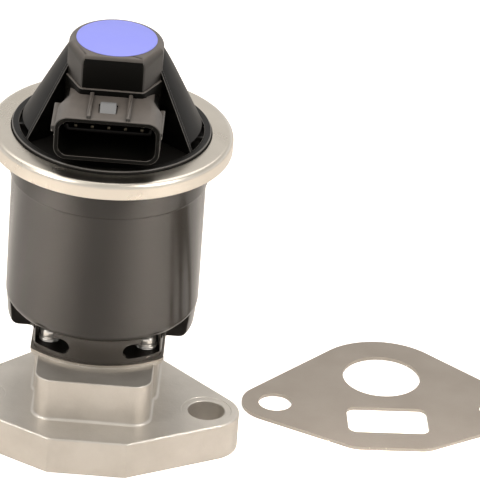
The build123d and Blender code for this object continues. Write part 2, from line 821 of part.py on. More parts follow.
# Moulded cap: flange and spigot, rimmed disc, tower, wings and connector in one piece
with BuildPart() as sensor_cap:
    turned(
        (0, cap_flange_bottom),
        (spigot_radius - spigot_wall, cap_flange_bottom),
        (spigot_radius - spigot_wall, stator_top),
        (spigot_radius, stator_top),
        (spigot_radius, cap_flange_bottom),
        (clinch_radius, cap_flange_bottom),
        (clinch_radius, cap_flange_top),
        (cap_radius, cap_flange_top),
        (cap_radius, cap_rim_top - cap_rim_round),
        (cap_radius - cap_rim_round, cap_rim_top),
        (cap_radius - cap_rim_width + cap_rim_round, cap_rim_top),
        (cap_radius - cap_rim_width, cap_rim_top - cap_rim_round),
        (cap_radius - cap_rim_width, cap_floor_top),
        (0, cap_floor_top),
    )
    add(cap_wings.part)
    add(wing_pockets.part, mode=Mode.SUBTRACT)
    with BuildSketch(Plane.XY.offset(cap_flange_top)):
        add(tower_outline(0))
    extrude(amount=tower_top - cap_flange_top)
    fillet(sensor_cap.faces().sort_by(Axis.Z)[-1].edges(), tower_edge)
    with BuildSketch(Plane.XY.offset(cap_flange_top)):
        add(tower_outline(ledge_width))
    extrude(amount=ledge_height - cap_flange_top)
    add(shroud_block.part)
    with BuildSketch(Plane.XY.offset(cap_floor_top)):
        with Locations((0, -(pedestal_front + tower_front) / 2)):
            Rectangle(2 * pedestal_half_width, pedestal_front - tower_front)
    extrude(amount=shroud_bottom - cap_floor_top)
    with BuildSketch(Plane.XY.offset(shroud_top)):
        for side in (-1, 1):
            with Locations((side * key_rib_x, -(shroud_mouth - key_rib_setback + tower_front) / 2)):
                Rectangle(key_rib_width, shroud_mouth - key_rib_setback - tower_front)
    extrude(amount=key_rib_height)
    with BuildSketch(Plane.XZ.offset(tower_front)):
        for side in (-1, 1):
            with Locations((side * (shroud_half_width + side_rail_width / 2), side_rail_level)):
                Rectangle(side_rail_width + 2 * side_rail_root, side_rail_height)
    extrude(amount=shroud_mouth - tower_front - key_rib_setback)
    with BuildSketch(Plane.YZ.offset(-latch_half_width)):
        with BuildLine():
            Polyline(
                (-latch_front, shroud_top),
                (-latch_rear, shroud_top),
                (-latch_rear, shroud_top + latch_height),
                (-latch_rear - latch_height, shroud_top + latch_height),
                close=True,
            )
        make_face()
    extrude(amount=2 * latch_half_width)
    with BuildSketch(Plane.XZ.offset(socket_back)):
        with Locations((0, (shroud_bottom + shroud_top) / 2)):
            RectangleRounded(
                2 * (shroud_half_width - shroud_wall),
                shroud_top - shroud_bottom - 2 * shroud_wall,
                socket_corner,
            )
    extrude(amount=shroud_mouth - socket_back, mode=Mode.SUBTRACT)
    with BuildSketch(Plane.XZ.offset(socket_back)):
        with Locations((0, tongue_level)):
            RectangleRounded(2 * tongue_half_width, tongue_height, tongue_height / 3)
            RectangleRounded(
                2 * (tongue_half_width - tongue_wall),
                tongue_height - 2 * tongue_wall,
                tongue_height / 3 - tongue_wall / 2,
                mode=Mode.SUBTRACT,
            )
            with Locations((0, tongue_height / 2)):
                Rectangle(2 * tongue_half_width, tongue_height, mode=Mode.SUBTRACT)
    extrude(amount=pin_tip - socket_back)
    with BuildSketch(Plane.XZ.offset(pin_root)):
        with Locations((0, pin_level)):
            with GridLocations(pin_pitch, 0, pin_count, 1):
                Rectangle(pin_size, pin_size)
    extrude(amount=socket_back - pin_root, mode=Mode.SUBTRACT)
    with BuildSketch(Plane.XY.offset(cap_flange_bottom)):
        Circle(sensor_bore_radius)
    extrude(amount=sensor_roof - cap_flange_bottom, mode=Mode.SUBTRACT)
sensor_cap.part.label = "sensor_cap"
export_step(sensor_cap.part, "parts/sensor_cap.step")

# Five terminals moulded into the wall behind the socket
with BuildPart() as terminal_pins:
    with BuildSketch(Plane.XZ.offset(pin_root)):
        with Locations((0, pin_level)):
            with GridLocations(pin_pitch, 0, pin_count, 1):
                Rectangle(pin_size, pin_size)
    extrude(amount=pin_tip - pin_root)
    chamfer(terminal_pins.faces().group_by(Axis.Y)[0].edges(), pin_size / 4)
terminal_pins.part.label = "terminal_pins"
export_step(terminal_pins.part, "parts/terminal_pins.step")

# Position sensor: a plunger that rests on the stem, its wiper, spring and resistive track
with BuildPart() as sensor_plunger:
    turned(
        (0, stem_top + plunger_gap),
        (plunger_radius, stem_top + plunger_gap),
        (plunger_radius, collar_bottom),
        (collar_radius, collar_bottom),
        (collar_radius, collar_bottom + collar_thickness),
        (plunger_radius, collar_bottom + collar_thickness),
        (plunger_radius, plunger_top),
        (0, plunger_top),
    )
sensor_plunger.part.label = "sensor_plunger"
export_step(sensor_plunger.part, "parts/sensor_plunger.step")

with BuildPart() as sensor_wiper:
    with BuildSketch(Plane.YZ.offset(-wiper_half_width)):
        with BuildLine():
            Polyline(
                (plunger_radius + wiper_gap, collar_bottom - wiper_thickness),
                (board_y - wiper_gap, collar_bottom - wiper_thickness),
                (board_y - wiper_gap, collar_bottom + wiper_arm),
                (board_y - wiper_gap - wiper_thickness, collar_bottom + wiper_arm),
                (board_y - wiper_gap - wiper_thickness, collar_bottom),
                (plunger_radius + wiper_gap, collar_bottom),
                close=True,
            )
        make_face()
    extrude(amount=2 * wiper_half_width)
sensor_wiper.part.label = "sensor_wiper"
export_step(sensor_wiper.part, "parts/sensor_wiper.step")

with BuildPart() as sensor_spring:
    add(
        coil_spring(
            sensor_spring_radius,
            sensor_spring_wire,
            collar_bottom + collar_thickness,
            sensor_roof,
            sensor_spring_turns,
        )
    )
sensor_spring.part.label = "sensor_spring"
export_step(sensor_spring.part, "parts/sensor_spring.step")

with BuildPart() as sensor_board:
    with BuildSketch(Plane.XY.offset(board_bottom)):
        with Locations((0, board_y + board_thickness / 2)):
            Rectangle(2 * board_half_width, board_thickness)
    extrude(amount=sensor_roof - board_bottom)
sensor_board.part.label = "sensor_board"
export_step(sensor_board.part, "parts/sensor_board.step")

# Round label on the tower
with BuildPart() as label_disc:
    with BuildSketch(Plane.XY.offset(tower_top)):
        Circle(label_radius)
    extrude(amount=label_thickness)
label_disc.part.label = "label_disc"
export_step(label_disc.part, "parts/label_disc.step")

# Loose flange gasket, lying flat beside the valve and turned a little
loose_turn = radians(loose_gasket_turn)
loose_plane = Plane(
    origin=(loose_gasket_x, loose_gasket_y, 0), x_dir=(cos(loose_turn), sin(loose_turn), 0), z_dir=(0, 0, 1)
)
with BuildPart() as mounting_gasket:
    with BuildSketch(loose_plane):
        add(
            flange_outline(
                loose_ear_radius,
                loose_back_radius,
                loose_nose_half_width,
                loose_nose_reach,
                loose_nose_round,
                port_offset,
            )
        )
        with GridLocations(bolt_spacing, 0, 2, 1):
            Circle(loose_bolt_hole_radius, mode=Mode.SUBTRACT)
        with Locations((0, port_offset)):
            Circle(inlet_radius, mode=Mode.SUBTRACT)
        with Locations((0, -outlet_center)):
            RectangleRounded(outlet_width, outlet_depth, outlet_corner, mode=Mode.SUBTRACT)
    extrude(amount=loose_gasket_thickness)
mounting_gasket.part.label = "mounting_gasket"
export_step(mounting_gasket.part, "parts/mounting_gasket.step")
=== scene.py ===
import math

import bmesh
import bpy
from mathutils import Matrix, Vector


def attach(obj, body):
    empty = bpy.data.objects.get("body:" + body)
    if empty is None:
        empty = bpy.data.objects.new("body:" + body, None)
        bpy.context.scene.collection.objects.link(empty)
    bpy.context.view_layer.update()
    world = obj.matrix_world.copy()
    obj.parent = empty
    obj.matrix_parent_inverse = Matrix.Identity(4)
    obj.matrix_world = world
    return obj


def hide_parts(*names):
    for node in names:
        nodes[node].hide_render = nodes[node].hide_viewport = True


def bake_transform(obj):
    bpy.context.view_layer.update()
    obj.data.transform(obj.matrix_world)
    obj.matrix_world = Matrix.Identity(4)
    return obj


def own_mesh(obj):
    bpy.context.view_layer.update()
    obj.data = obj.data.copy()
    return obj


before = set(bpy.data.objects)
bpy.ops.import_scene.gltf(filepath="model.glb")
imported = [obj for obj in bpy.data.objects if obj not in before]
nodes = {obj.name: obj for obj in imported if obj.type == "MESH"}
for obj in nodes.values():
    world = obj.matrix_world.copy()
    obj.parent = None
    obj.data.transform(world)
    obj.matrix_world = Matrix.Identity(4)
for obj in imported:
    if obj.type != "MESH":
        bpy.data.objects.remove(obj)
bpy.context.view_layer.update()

mm = 0.001
crispAngle = 34  # degrees; edges that turn more than this stay crisp
sides = {"Left": -1, "Right": 1}

# Camera, as fitted to the photograph
cameraSettings = {
    "focalPixels": 4718.6,
    "imageSize": 480,
    "sensorWidth": 36,
    "clip": (0.05, 20),
    "azimuth": 0.434,
    "elevation": 28.545,
    "roll": 4.281,
    "distance": 1.2466,
    "target": (0, 0, 0.045),
    "targetPixel": (103.985, 258.509),
}


def makeCamera(settings):
    azimuth, elevation, roll = (math.radians(settings[key]) for key in ("azimuth", "elevation", "roll"))
    back = Vector((
        math.sin(azimuth) * math.cos(elevation),
        -math.cos(azimuth) * math.cos(elevation),
        math.sin(elevation),
    ))
    level = Vector((math.cos(azimuth), math.sin(azimuth), 0))
    upright = back.cross(level)
    right = level * math.cos(roll) + upright * math.sin(roll)
    up = upright * math.cos(roll) - level * math.sin(roll)
    half = settings["imageSize"] / 2
    reach = settings["distance"] / settings["focalPixels"]
    aside = (settings["targetPixel"][0] - half) * reach
    above = (half - settings["targetPixel"][1]) * reach
    place = Vector(settings["target"]) + back * settings["distance"] - right * aside - up * above
    data = bpy.data.cameras.new("camera")
    data.sensor_width = settings["sensorWidth"]
    data.lens = settings["focalPixels"] / settings["imageSize"] * data.sensor_width
    data.clip_start, data.clip_end = settings["clip"]
    camera = bpy.data.objects.new("camera", data)
    turn = Matrix((right, up, back)).transposed().to_4x4()
    camera.matrix_world = Matrix.Translation(place) @ turn
    bpy.context.scene.collection.objects.link(camera)
    bpy.context.scene.camera = camera


# Adds a shader node: settings are its own values or its sockets', wires are what its sockets take in
def addNode(tree, kind, settings=None, **wires):
    node = tree.nodes.new(kind)
    for key, value in (settings or {}).items():
        if hasattr(node, key):
            setattr(node, key, value)
        else:
            node.inputs[key].default_value = value
    for key, source in wires.items():
        tree.links.new(source, node.inputs[key])
    return node


def joinMath(tree, operation, first, second):
    node = addNode(tree, "ShaderNodeMath", {"operation": operation})
    for socket, value in zip(node.inputs, (first, second)):
        if isinstance(value, (int, float)):
            socket.default_value = value
        else:
            tree.links.new(value, socket)
    return node.outputs[0]


def emptyTree(owner):
    owner.use_nodes = True
    owner.node_tree.nodes.clear()
    return owner.node_tree


# Light, floor and background
studioSettings = {
    "skyLight": 0.42,
    "skyColor": (1.0, 0.97, 0.93, 1),
    "seenHeights": (0.1, 0.45),  # of the two colours that the camera and gloss see
    "seenColors": ((1.0, 1.0, 1.0, 1), (0.62, 0.60, 0.57, 1)),
    "floorReach": 6,
    "floorColor": (0.86, 0.80, 0.735, 1),
    "floorLift": 0.75,  # as the camera sees it
    "mirrorLift": 0.2,  # as gloss sees it
    "lamps": {  # name: place, target, size, power, spread in degrees, colour
        "overhead": ((-0.1, 0.35, 0.9), (0, 0, 0.05), (1.3, 0.7), 3.8, 180, (1.0, 0.97, 0.93)),
        "leftBox": ((-0.34, -0.24, 0.42), (-0.16, -0.12, 0), (0.22, 0.3), 1.1, 180, (1.0, 0.96, 0.91)),
        "rightBox": ((0.34, -0.24, 0.42), (0.16, -0.12, 0), (0.22, 0.3), 1.1, 180, (1.0, 0.96, 0.91)),
        "leftPool": ((-0.3, -0.2, 0.4), (-0.108, -0.066, 0), (0.08, 0.1), 0.105, 12, (1.0, 0.94, 0.87)),
        "rightPool": ((0.3, -0.2, 0.4), (0.102, -0.074, 0), (0.08, 0.1), 0.105, 12, (1.0, 0.94, 0.87)),
    },
}


# Strength of a background for rays from the camera, and for those from gloss or glass
def seenStrength(tree, eye, mirror):
    path = tree.nodes.new("ShaderNodeLightPath").outputs
    gloss = joinMath(tree, "MAXIMUM", path["Is Glossy Ray"], path["Is Transmission Ray"])
    direct = joinMath(tree, "MULTIPLY", path["Is Camera Ray"], eye)
    return joinMath(tree, "MAXIMUM", direct, joinMath(tree, "MULTIPLY", gloss, mirror))


def makeWorld(settings):
    world = bpy.data.worlds.new("studio")
    bpy.context.scene.world = world
    tree = emptyTree(world)
    sky = {"Color": settings["skyColor"], "Strength": settings["skyLight"]}
    light = addNode(tree, "ShaderNodeBackground", sky)
    direction = tree.nodes.new("ShaderNodeTexCoord")
    height = addNode(tree, "ShaderNodeSeparateXYZ", Vector=direction.outputs["Generated"])
    ramp = addNode(tree, "ShaderNodeValToRGB", Fac=height.outputs["Z"])
    for i, element in enumerate(ramp.color_ramp.elements):
        element.position = settings["seenHeights"][i]
        element.color = settings["seenColors"][i]
    seen = addNode(tree, "ShaderNodeBackground", Color=ramp.outputs["Color"])
    mix = addNode(tree, "ShaderNodeMixShader", Fac=seenStrength(tree, 1, 1))
    tree.links.new(light.outputs[0], mix.inputs[1])
    tree.links.new(seen.outputs[0], mix.inputs[2])
    addNode(tree, "ShaderNodeOutputWorld", Surface=mix.outputs[0])


def makeFloor(settings):
    reach = settings["floorReach"]
    corners = [(-reach, -reach, 0), (reach, -reach, 0), (reach, reach, 0), (-reach, reach, 0)]
    mesh = bpy.data.meshes.new("floor")
    mesh.from_pydata(corners, [], [(0, 1, 2, 3)])
    floor = bpy.data.objects.new("floor", mesh)
    bpy.context.scene.collection.objects.link(floor)
    material = bpy.data.materials.new("paleFloor")
    tree = emptyTree(material)
    paper = addNode(tree, "ShaderNodeBsdfDiffuse", {"Color": settings["floorColor"]})
    strength = seenStrength(tree, settings["floorLift"], settings["mirrorLift"])
    lift = addNode(tree, "ShaderNodeEmission", Strength=strength)
    both = tree.nodes.new("ShaderNodeAddShader")
    tree.links.new(paper.outputs[0], both.inputs[0])
    tree.links.new(lift.outputs[0], both.inputs[1])
    addNode(tree, "ShaderNodeOutputMaterial", Surface=both.outputs[0])
    mesh.materials.append(material)


def makeLamps(settings):
    for name, (place, target, size, power, spread, color) in settings["lamps"].items():
        data = bpy.data.lights.new(name, "AREA")
        data.shape = "RECTANGLE"
        data.size, data.size_y = size
        data.energy = power
        data.spread = math.radians(spread)
        data.color = color
        lamp = bpy.data.objects.new(name, data)
        lamp.location = place
        aim = Vector(target) - Vector(place)
        lamp.rotation_euler = aim.to_track_quat("-Z", "Y").to_euler()
        lamp.visible_camera = False
        bpy.context.scene.collection.objects.link(lamp)


makeCamera(cameraSettings)
makeWorld(studioSettings)
makeFloor(studioSettings)
makeLamps(studioSettings)
bpy.context.scene.view_settings.view_transform = "Standard"
print("camera and studio made")


# Outlines are lists of (x, y) and profiles lists of (radius, height), all in millimetres
def arc(center, radius, start, end, steps=24):
    made = []
    for i in range(steps + 1):
        turn = math.radians(start + (end - start) * i / steps)
        made.append(Vector((center[0] + radius * math.cos(turn), center[1] + radius * math.sin(turn))))
    return made


def circle(center, radius, count):
    return arc(center, radius, 0, 360 - 360 / count, count - 1)


# Steps of a quarter turn, each as (1 - cosine, 1 - sine)
def quarterTurn(steps):
    turns = [math.pi / 2 * k / steps for k in range(steps + 1)]
    return [(1 - math.cos(turn), 1 - math.sin(turn)) for turn in turns]


# Points of a curve that leaves start and reaches end in line with the corner
def softBend(start, corner, end, steps):
    shares = [step / steps for step in range(steps + 1)]
    return [start * (1 - t) ** 2 + corner * 2 * t * (1 - t) + end * t ** 2 for t in shares]


def roundCorners(points, radii, steps=5):
    made = []
    count = len(points)
    nearlyStraight = math.pi / 2 - 0.02
    longestShare = 0.49  # of a side, for the rounding of one of its corners
    for i, corner in enumerate(points):
        radius = radii[i] if isinstance(radii, list) else radii
        here = Vector(corner)
        before, after = Vector(points[i - 1]) - here, Vector(points[(i + 1) % count]) - here
        inward, outward = before.normalized(), after.normalized()
        half = math.acos(max(-1, min(1, inward.dot(outward)))) / 2
        if radius <= 0 or half > nearlyStraight:
            made.append(here)
            continue
        reach = min(radius / math.tan(half), before.length * longestShare, after.length * longestShare)
        radius = reach * math.tan(half)
        middle = here + (inward + outward).normalized() * radius / math.sin(half)
        start, end = here + inward * reach - middle, here + outward * reach - middle
        turn = math.atan2(start.x * end.y - start.y * end.x, start.dot(end))
        for step in range(steps + 1):
            made.append(middle + Matrix.Rotation(turn * step / steps, 2) @ start)
    return made


# As roundCorners, but a corner's rounding may run past its near neighbours, which then give way
def softenCorners(points, radii, steps=6):
    points = [Vector(point) for point in points]
    count = len(points)
    rounded = [i for i in range(count) if radii[i] > 0]
    swallow = 1.05  # times its radius, how far a rounding takes its neighbours in
    skipped = set()
    for i in rounded:
        for way in (-1, 1):
            walked, last = 0.0, i
            while True:
                following = (last + way) % count
                walked += (points[following] - points[last]).length
                if walked > radii[i] * swallow or radii[following] > 0:
                    break
                skipped.add(following)
                last = following
    made = []
    for i, here in enumerate(points):
        if i in rounded:
            start = here + (points[i - 1] - here).normalized() * radii[i]
            end = here + (points[(i + 1) % count] - here).normalized() * radii[i]
            made += softBend(start, here, end, steps)
        elif i not in skipped:
            made.append(here)
    return made


def rectangle(left, right, near, far, radius=0.0, steps=6):
    return roundCorners([(left, near), (right, near), (right, far), (left, far)], radius, steps)


# Takes an outline of the right side to the given side, still anticlockwise
def onSide(side, outline):
    return [Vector((side * x, y)) for x, y in outline[::side]]


def fourPlaces(x, y):
    return [(across * x, along * y) for across in (-1, 1) for along in (-1, 1)]


def turnsLeft(first, second, third):
    return (second[0] - first[0]) * (third[1] - first[1]) > (second[1] - first[1]) * (third[0] - first[0])


# Outer outline of a cloud of points
def hull(points):
    ordered = sorted({(round(x, 5), round(y, 5)) for x, y in points})
    ring = []
    for run in (ordered, ordered[::-1]):
        chain = []
        for point in run:
            while len(chain) > 1 and not turnsLeft(chain[-2], chain[-1], point):
                chain.pop()
            chain.append(point)
        ring += chain[:-1]
    return [Vector(point) for point in ring]


# Moves an anticlockwise outline inwards by amount
def shrink(outline, amount):
    sharpest = 0.3  # keeps the points of sharp corners from running away
    moved = []
    for i, here in enumerate(outline):
        along = (here - outline[i - 1]).normalized()
        onward = (outline[(i + 1) % len(outline)] - here).normalized()
        mid = Vector((-along.y - onward.y, along.x + onward.x))
        moved.append(here + mid * amount / max(mid.length_squared / 2, sharpest))
    return moved


# Levels of a wall with rounded ends, as (height, how far the outline is drawn in)
def wallLevels(low, high, lowRound, highRound, steps=4):
    foot, head = [(low, 0)], [(high, 0)]
    if lowRound:
        foot = [(low + lowRound * rise, lowRound * draw) for rise, draw in quarterTurn(steps)]
    if highRound:
        head = [(high - highRound * rise, highRound * draw) for rise, draw in quarterTurn(steps)]
    return foot + head[::-1]


def finishMesh(name, mesh, crisp=crispAngle):
    bmesh.ops.recalc_face_normals(mesh, faces=mesh.faces)
    data = bpy.data.meshes.new(name)
    mesh.to_mesh(data)
    mesh.free()
    data.shade_smooth()
    data.set_sharp_from_angle(angle=math.radians(crisp))
    piece = bpy.data.objects.new(name, data)
    bpy.context.scene.collection.objects.link(piece)
    return piece


# A skin over each stack of rings, closed at both ends; a stack's rings have equal numbers of points
def skinStacks(name, stacks, crisp=crispAngle):
    mesh = bmesh.new()
    for rings in stacks:
        made = [[mesh.verts.new(Vector(point) * mm) for point in ring] for ring in rings]
        for low, high in zip(made, made[1:]):
            for i in range(len(low)):
                j = (i + 1) % len(low)
                mesh.faces.new((low[i], low[j], high[j], high[i]))
        mesh.faces.new(made[0][::-1])
        mesh.faces.new(made[-1])
    return finishMesh(name, mesh, crisp)


# Points at equal angles round a vertical axis: a circle, or a hexagon with this radius at its flats
def ringAt(center, radius, height, count, hexagon=False):
    ring = []
    for i in range(count):
        turn = 2 * math.pi * i / count
        fromFlat = (turn + math.pi / 6) % (math.pi / 3) - math.pi / 6
        reach = radius / math.cos(fromFlat) if hexagon else radius
        ring.append((center[0] + reach * math.cos(turn), center[1] + reach * math.sin(turn), height))
    return ring


# Turns a closed profile round a vertical axis
def lathe(name, profile, steps=128, center=(0, 0), crisp=crispAngle):
    mesh = bmesh.new()
    rings = []
    for radius, height in profile:
        ring = ringAt(center, radius, height, steps if radius > 0 else 1)
        rings.append([mesh.verts.new([part * mm for part in point]) for point in ring])
    for low, high in zip(rings, rings[1:] + rings[:1]):
        for i in range(steps):
            j = (i + 1) % steps
            if len(low) == 1 and len(high) > 1:
                mesh.faces.new((low[0], high[j], high[i]))
            elif len(high) == 1 and len(low) > 1:
                mesh.faces.new((low[i], low[j], high[0]))
            elif len(low) > 1:
                mesh.faces.new((low[i], low[j], high[j], high[i]))
    return finishMesh(name, mesh, crisp)


# Upright wall over an outline, with how far it is drawn in at each level
def skinLevels(name, outline, levels):
    rings = [[(x, y, z) for x, y in shrink(outline, inset)] for z, inset in levels]
    return skinStacks(name, [rings])


# Upright prism over an outline, with rounded bottom and top edges
def prism(name, outline, low, high, lowRound=0.0, highRound=0.0):
    return skinLevels(name, outline, wallLevels(low, high, lowRound, highRound))


# Upright prism whose foot spreads in a hollow curve and goes on below its low end
def flaredPrism(name, outline, low, high, flare, highRound):
    sunk = 1.0
    levels = [(low - sunk, -flare)]
    levels += [(low + flare * rise, -flare * draw) for rise, draw in quarterTurn(6)]
    levels += wallLevels(low, high, 0, highRound)[1:]
    return skinLevels(name, outline, levels)


# Rings of a prism that lies along Y: its outline is (x, z), and its near end is rounded
def beamRings(outline, near, far, nearRound=0.0, steps=4):
    levels = wallLevels(near, far, nearRound, 0, steps)
    return [[(x, y, z) for x, z in shrink(outline, inset)] for y, inset in levels]


def beam(name, outline, near, far, nearRound=0.0):
    return skinStacks(name, [beamRings(outline, near, far, nearRound)])


def bevelEdges(piece, width, segments, angle):
    bevel = piece.modifiers.new("bevel", "BEVEL")
    bevel.width = width * mm
    bevel.segments = segments
    bevel.limit_method = "ANGLE"
    bevel.angle_limit = math.radians(angle)
    bevel.harden_normals = True
    return piece


def applyModifiers(piece):
    bpy.context.view_layer.update()
    graph = bpy.context.evaluated_depsgraph_get()
    mesh = bpy.data.meshes.new_from_object(piece.evaluated_get(graph))
    piece.modifiers.clear()
    piece.data = mesh


# Keeps flat faces flat where they meet rounded edges
def weighNormals(piece):
    weighed = piece.modifiers.new("weighed", "WEIGHTED_NORMAL")
    weighed.keep_sharp = True
    weighed.weight = 100
    applyModifiers(piece)


# Adds the others to the piece or takes them from it, and removes them
def combine(piece, operation, others):
    for other in others:
        step = piece.modifiers.new("combine", "BOOLEAN")
        step.operation = operation
        step.solver = "EXACT"
        step.object = other
    applyModifiers(piece)
    for other in others:
        bpy.data.objects.remove(other)


def cutAway(piece, cutters):
    combine(piece, "DIFFERENCE", cutters)
    piece.data.set_sharp_from_angle(angle=math.radians(crispAngle))
    return piece


def dress(piece, material, replaced=(), body="valve"):
    piece.data.materials.clear()
    piece.data.materials.append(material)
    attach(piece, body)
    if replaced:
        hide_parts(*replaced)


# Shared effects, as shader node groups that work in metres of the object's own space
groups = {}


def newGroup(name, inputs, outputs):
    tree = bpy.data.node_groups.new(name, "ShaderNodeTree")
    groups[name] = tree
    for label in inputs:
        socket = tree.interface.new_socket(label, in_out="INPUT", socket_type="NodeSocketFloat")
        socket.default_value = 1.0
    for label in outputs:
        kind = "NodeSocketVector" if label == "Normal" else "NodeSocketFloat"
        tree.interface.new_socket(label, in_out="OUTPUT", socket_type=kind)
    given = tree.nodes.new("NodeGroupInput").outputs
    return tree, tree.nodes.new("NodeGroupOutput").inputs, *(given[label] for label in inputs)


def objectSpace(tree):
    return tree.nodes.new("ShaderNodeTexCoord").outputs["Object"]


def noiseOf(tree, scale, detail, roughness, place=None):
    settings = {"Scale": scale, "Detail": detail, "Roughness": roughness}
    noise = addNode(tree, "ShaderNodeTexNoise", settings, Vector=place or objectSpace(tree))
    return noise.outputs["Fac"]


def bump(tree, height, strength, distance, **under):
    settings = {"Distance": distance}
    return addNode(tree, "ShaderNodeBump", settings, Height=height, Strength=strength, **under).outputs[0]


def stretchRange(tree, value, low, high, newLow=0.0, newHigh=1.0):
    settings = {"From Min": low, "From Max": high, "To Min": newLow, "To Max": newHigh}
    return addNode(tree, "ShaderNodeMapRange", settings, Value=value).outputs[0]


# Cast or blasted skin: fine grain over soft waves, with a mask of shallow pits
def makeCastSkin():
    tree, made, grain, waves = newGroup("castSkin", ("Grain", "Waves"), ("Normal", "Tone", "Pits"))
    softened = bump(tree, noiseOf(tree, 240, 2, 0.5), waves, 0.0006)
    grained = bump(tree, noiseOf(tree, 1300, 3, 0.55), grain, 0.0001, Normal=softened)
    finished = bump(tree, noiseOf(tree, 4200, 4, 0.6), grain, 0.00003, Normal=grained)
    tree.links.new(finished, made["Normal"])
    tree.links.new(noiseOf(tree, 90, 4, 0.6), made["Tone"])
    tree.links.new(stretchRange(tree, noiseOf(tree, 900, 2, 0.5), 0.66, 0.74), made["Pits"])


# Moulded plastic: very fine spark texture and a slow change of gloss
def makeMouldSkin():
    tree, made, grain = newGroup("mouldSkin", ("Grain",), ("Normal", "Gloss"))
    finished = bump(tree, noiseOf(tree, 5200, 2, 0.5), grain, 0.00002)
    tree.links.new(finished, made["Normal"])
    tree.links.new(noiseOf(tree, 160, 3, 0.6), made["Gloss"])


# Turned, drawn or rolled metal: fine lines that run around the Z axis
def makeTurnedLines():
    tree, made, depth = newGroup("turnedLines", ("Depth",), ("Normal", "Tone"))
    parts = addNode(tree, "ShaderNodeSeparateXYZ", Vector=objectSpace(tree)).outputs
    flat = addNode(tree, "ShaderNodeCombineXYZ", X=parts["X"], Y=parts["Y"])
    radius = addNode(tree, "ShaderNodeVectorMath", {"operation": "LENGTH"}, Vector=flat.outputs[0])
    angle = joinMath(tree, "ARCTAN2", parts["Y"], parts["X"])
    drawnOut = joinMath(tree, "MULTIPLY", angle, 0.0004)
    around = addNode(tree, "ShaderNodeCombineXYZ", X=radius.outputs["Value"], Y=drawnOut, Z=parts["Z"])
    lines = noiseOf(tree, 5200, 2, 0.6, around.outputs[0])
    tree.links.new(bump(tree, lines, depth, 0.00002), made["Normal"])
    tree.links.new(noiseOf(tree, 60, 4, 0.6), made["Tone"])


# Mask of the faces that look up: where dust settles, and where light from above is painted
def makeDustAndTopLightMask():
    tree, made = newGroup("dustAndTopLightMask", (), ("Mask",))
    direction = tree.nodes.new("ShaderNodeTexCoord").outputs["Normal"]
    facing = addNode(tree, "ShaderNodeSeparateXYZ", Vector=direction)
    slope = stretchRange(tree, facing.outputs["Z"], 0.08, 0.9)
    patches = stretchRange(tree, noiseOf(tree, 220, 4, 0.6), 0.3, 0.7, 0.8, 1.0)
    tree.links.new(joinMath(tree, "MULTIPLY", slope, patches), made["Mask"])


makeCastSkin()
makeMouldSkin()
makeTurnedLines()
makeDustAndTopLightMask()
print("node groups made")

# Moulded plastics, rubber, film and paint: grain, colour, IOR and range of roughness
mouldedLooks = {
    "blackCoat": (0.0, (0.010, 0.008, 0.006), 1.5, (0.15, 0.2)),
    # painted shade: a darker, duller copy of the black coat for faces that lie in shade
    "paintedShadeCoat": (0.2, (0.006, 0.005, 0.004), 1.2, (0.4, 0.5)),
    "neckCoat": (0.1, (0.056, 0.049, 0.042), 1.5, (0.2, 0.26)),
    "blackPlastic": (0.3, (0.007, 0.0063, 0.0055), 1.3, (0.4, 0.46)),
    # painted shade: a darker, less glossy copy of the black plastic for faces that lie in shade
    "paintedShadePlastic": (0.2, (0.004, 0.0038, 0.0032), 1.16, (0.36, 0.42)),
    # painted highlight: a light grey plastic for edges where light catches
    "paintedHighlightPlastic": (0.2, (0.13, 0.122, 0.112), 1.5, (0.3, 0.36)),
    "latchPlastic": (0.2, (0.17, 0.172, 0.175), 1.5, (0.3, 0.36)),
    "bobbinPlastic": (0.3, (0.18, 0.16, 0.13), 1.5, (0.4, 0.5)),
    "sealRubber": (0.5, (0.02, 0.02, 0.02), 1.5, (0.6, 0.7)),
    "labelFilm": (0.05, (0.29, 0.32, 0.92), 1.5, (0.42, 0.5)),
    "board": (0.1, (0.02, 0.12, 0.06), 1.5, (0.3, 0.4)),
}

# Black plastic whose upper faces are grey with fine dust and with painted light from above: clean and grey
# tones
dustAndTopLightLook = {
    "grain": 0.3, "tones": ((0.012, 0.0105, 0.009), (0.135, 0.118, 0.104)), "roughness": (0.36, 0.42),
}

# Turned and drawn metals: depth of the lines, two tones and range of roughness
turnedLooks = {
    "stainless": (0.03, ((0.70, 0.65, 0.575), (0.75, 0.70, 0.625)), (0.26, 0.31)),
    "steel": (0.4, ((0.36, 0.35, 0.34), (0.46, 0.45, 0.44)), (0.28, 0.38)),
    "copperWire": (1.0, ((0.62, 0.27, 0.14), (0.72, 0.33, 0.18)), (0.25, 0.35)),
    "bronze": (0.6, ((0.46, 0.30, 0.15), (0.54, 0.36, 0.19)), (0.35, 0.45)),
}

# Cast, plated and punched metals: grain, waves, how metallic, two tones, range of roughness,
# and the output of the skin that the tones and the roughness follow
castLooks = {
    "castMetal": (0.6, 0.1, 0.72, ((0.545, 0.512, 0.466), (0.615, 0.58, 0.532)), (0.37, 0.45), "Tone"),
    "screwSteel": (0.1, 0.0, 0.7, ((0.84, 0.81, 0.76), (0.94, 0.91, 0.86)), (0.2, 0.28), "Tone"),
    # painted shade: the pins' metal is darkened for the shade inside the socket
    "paintedShadePinMetal": (0.1, 0.0, 1.0, ((0.13, 0.115, 0.085), (0.16, 0.14, 0.105)), (0.42, 0.5), "Tone"),
    "gasketMetal": (0.3, 0.0, 0.9, ((0.375, 0.33, 0.285), (0.405, 0.36, 0.315)), (0.44, 0.5), "Tone"),
    "gasketEdge": (1.0, 0.6, 0.9, ((0.5, 0.46, 0.41), (0.98, 0.93, 0.86)), (0.4, 0.22), "Pits"),
}
materials = {}


def useGroup(tree, name, values):
    return addNode(tree, "ShaderNodeGroup", {"node_tree": groups[name], **values}).outputs


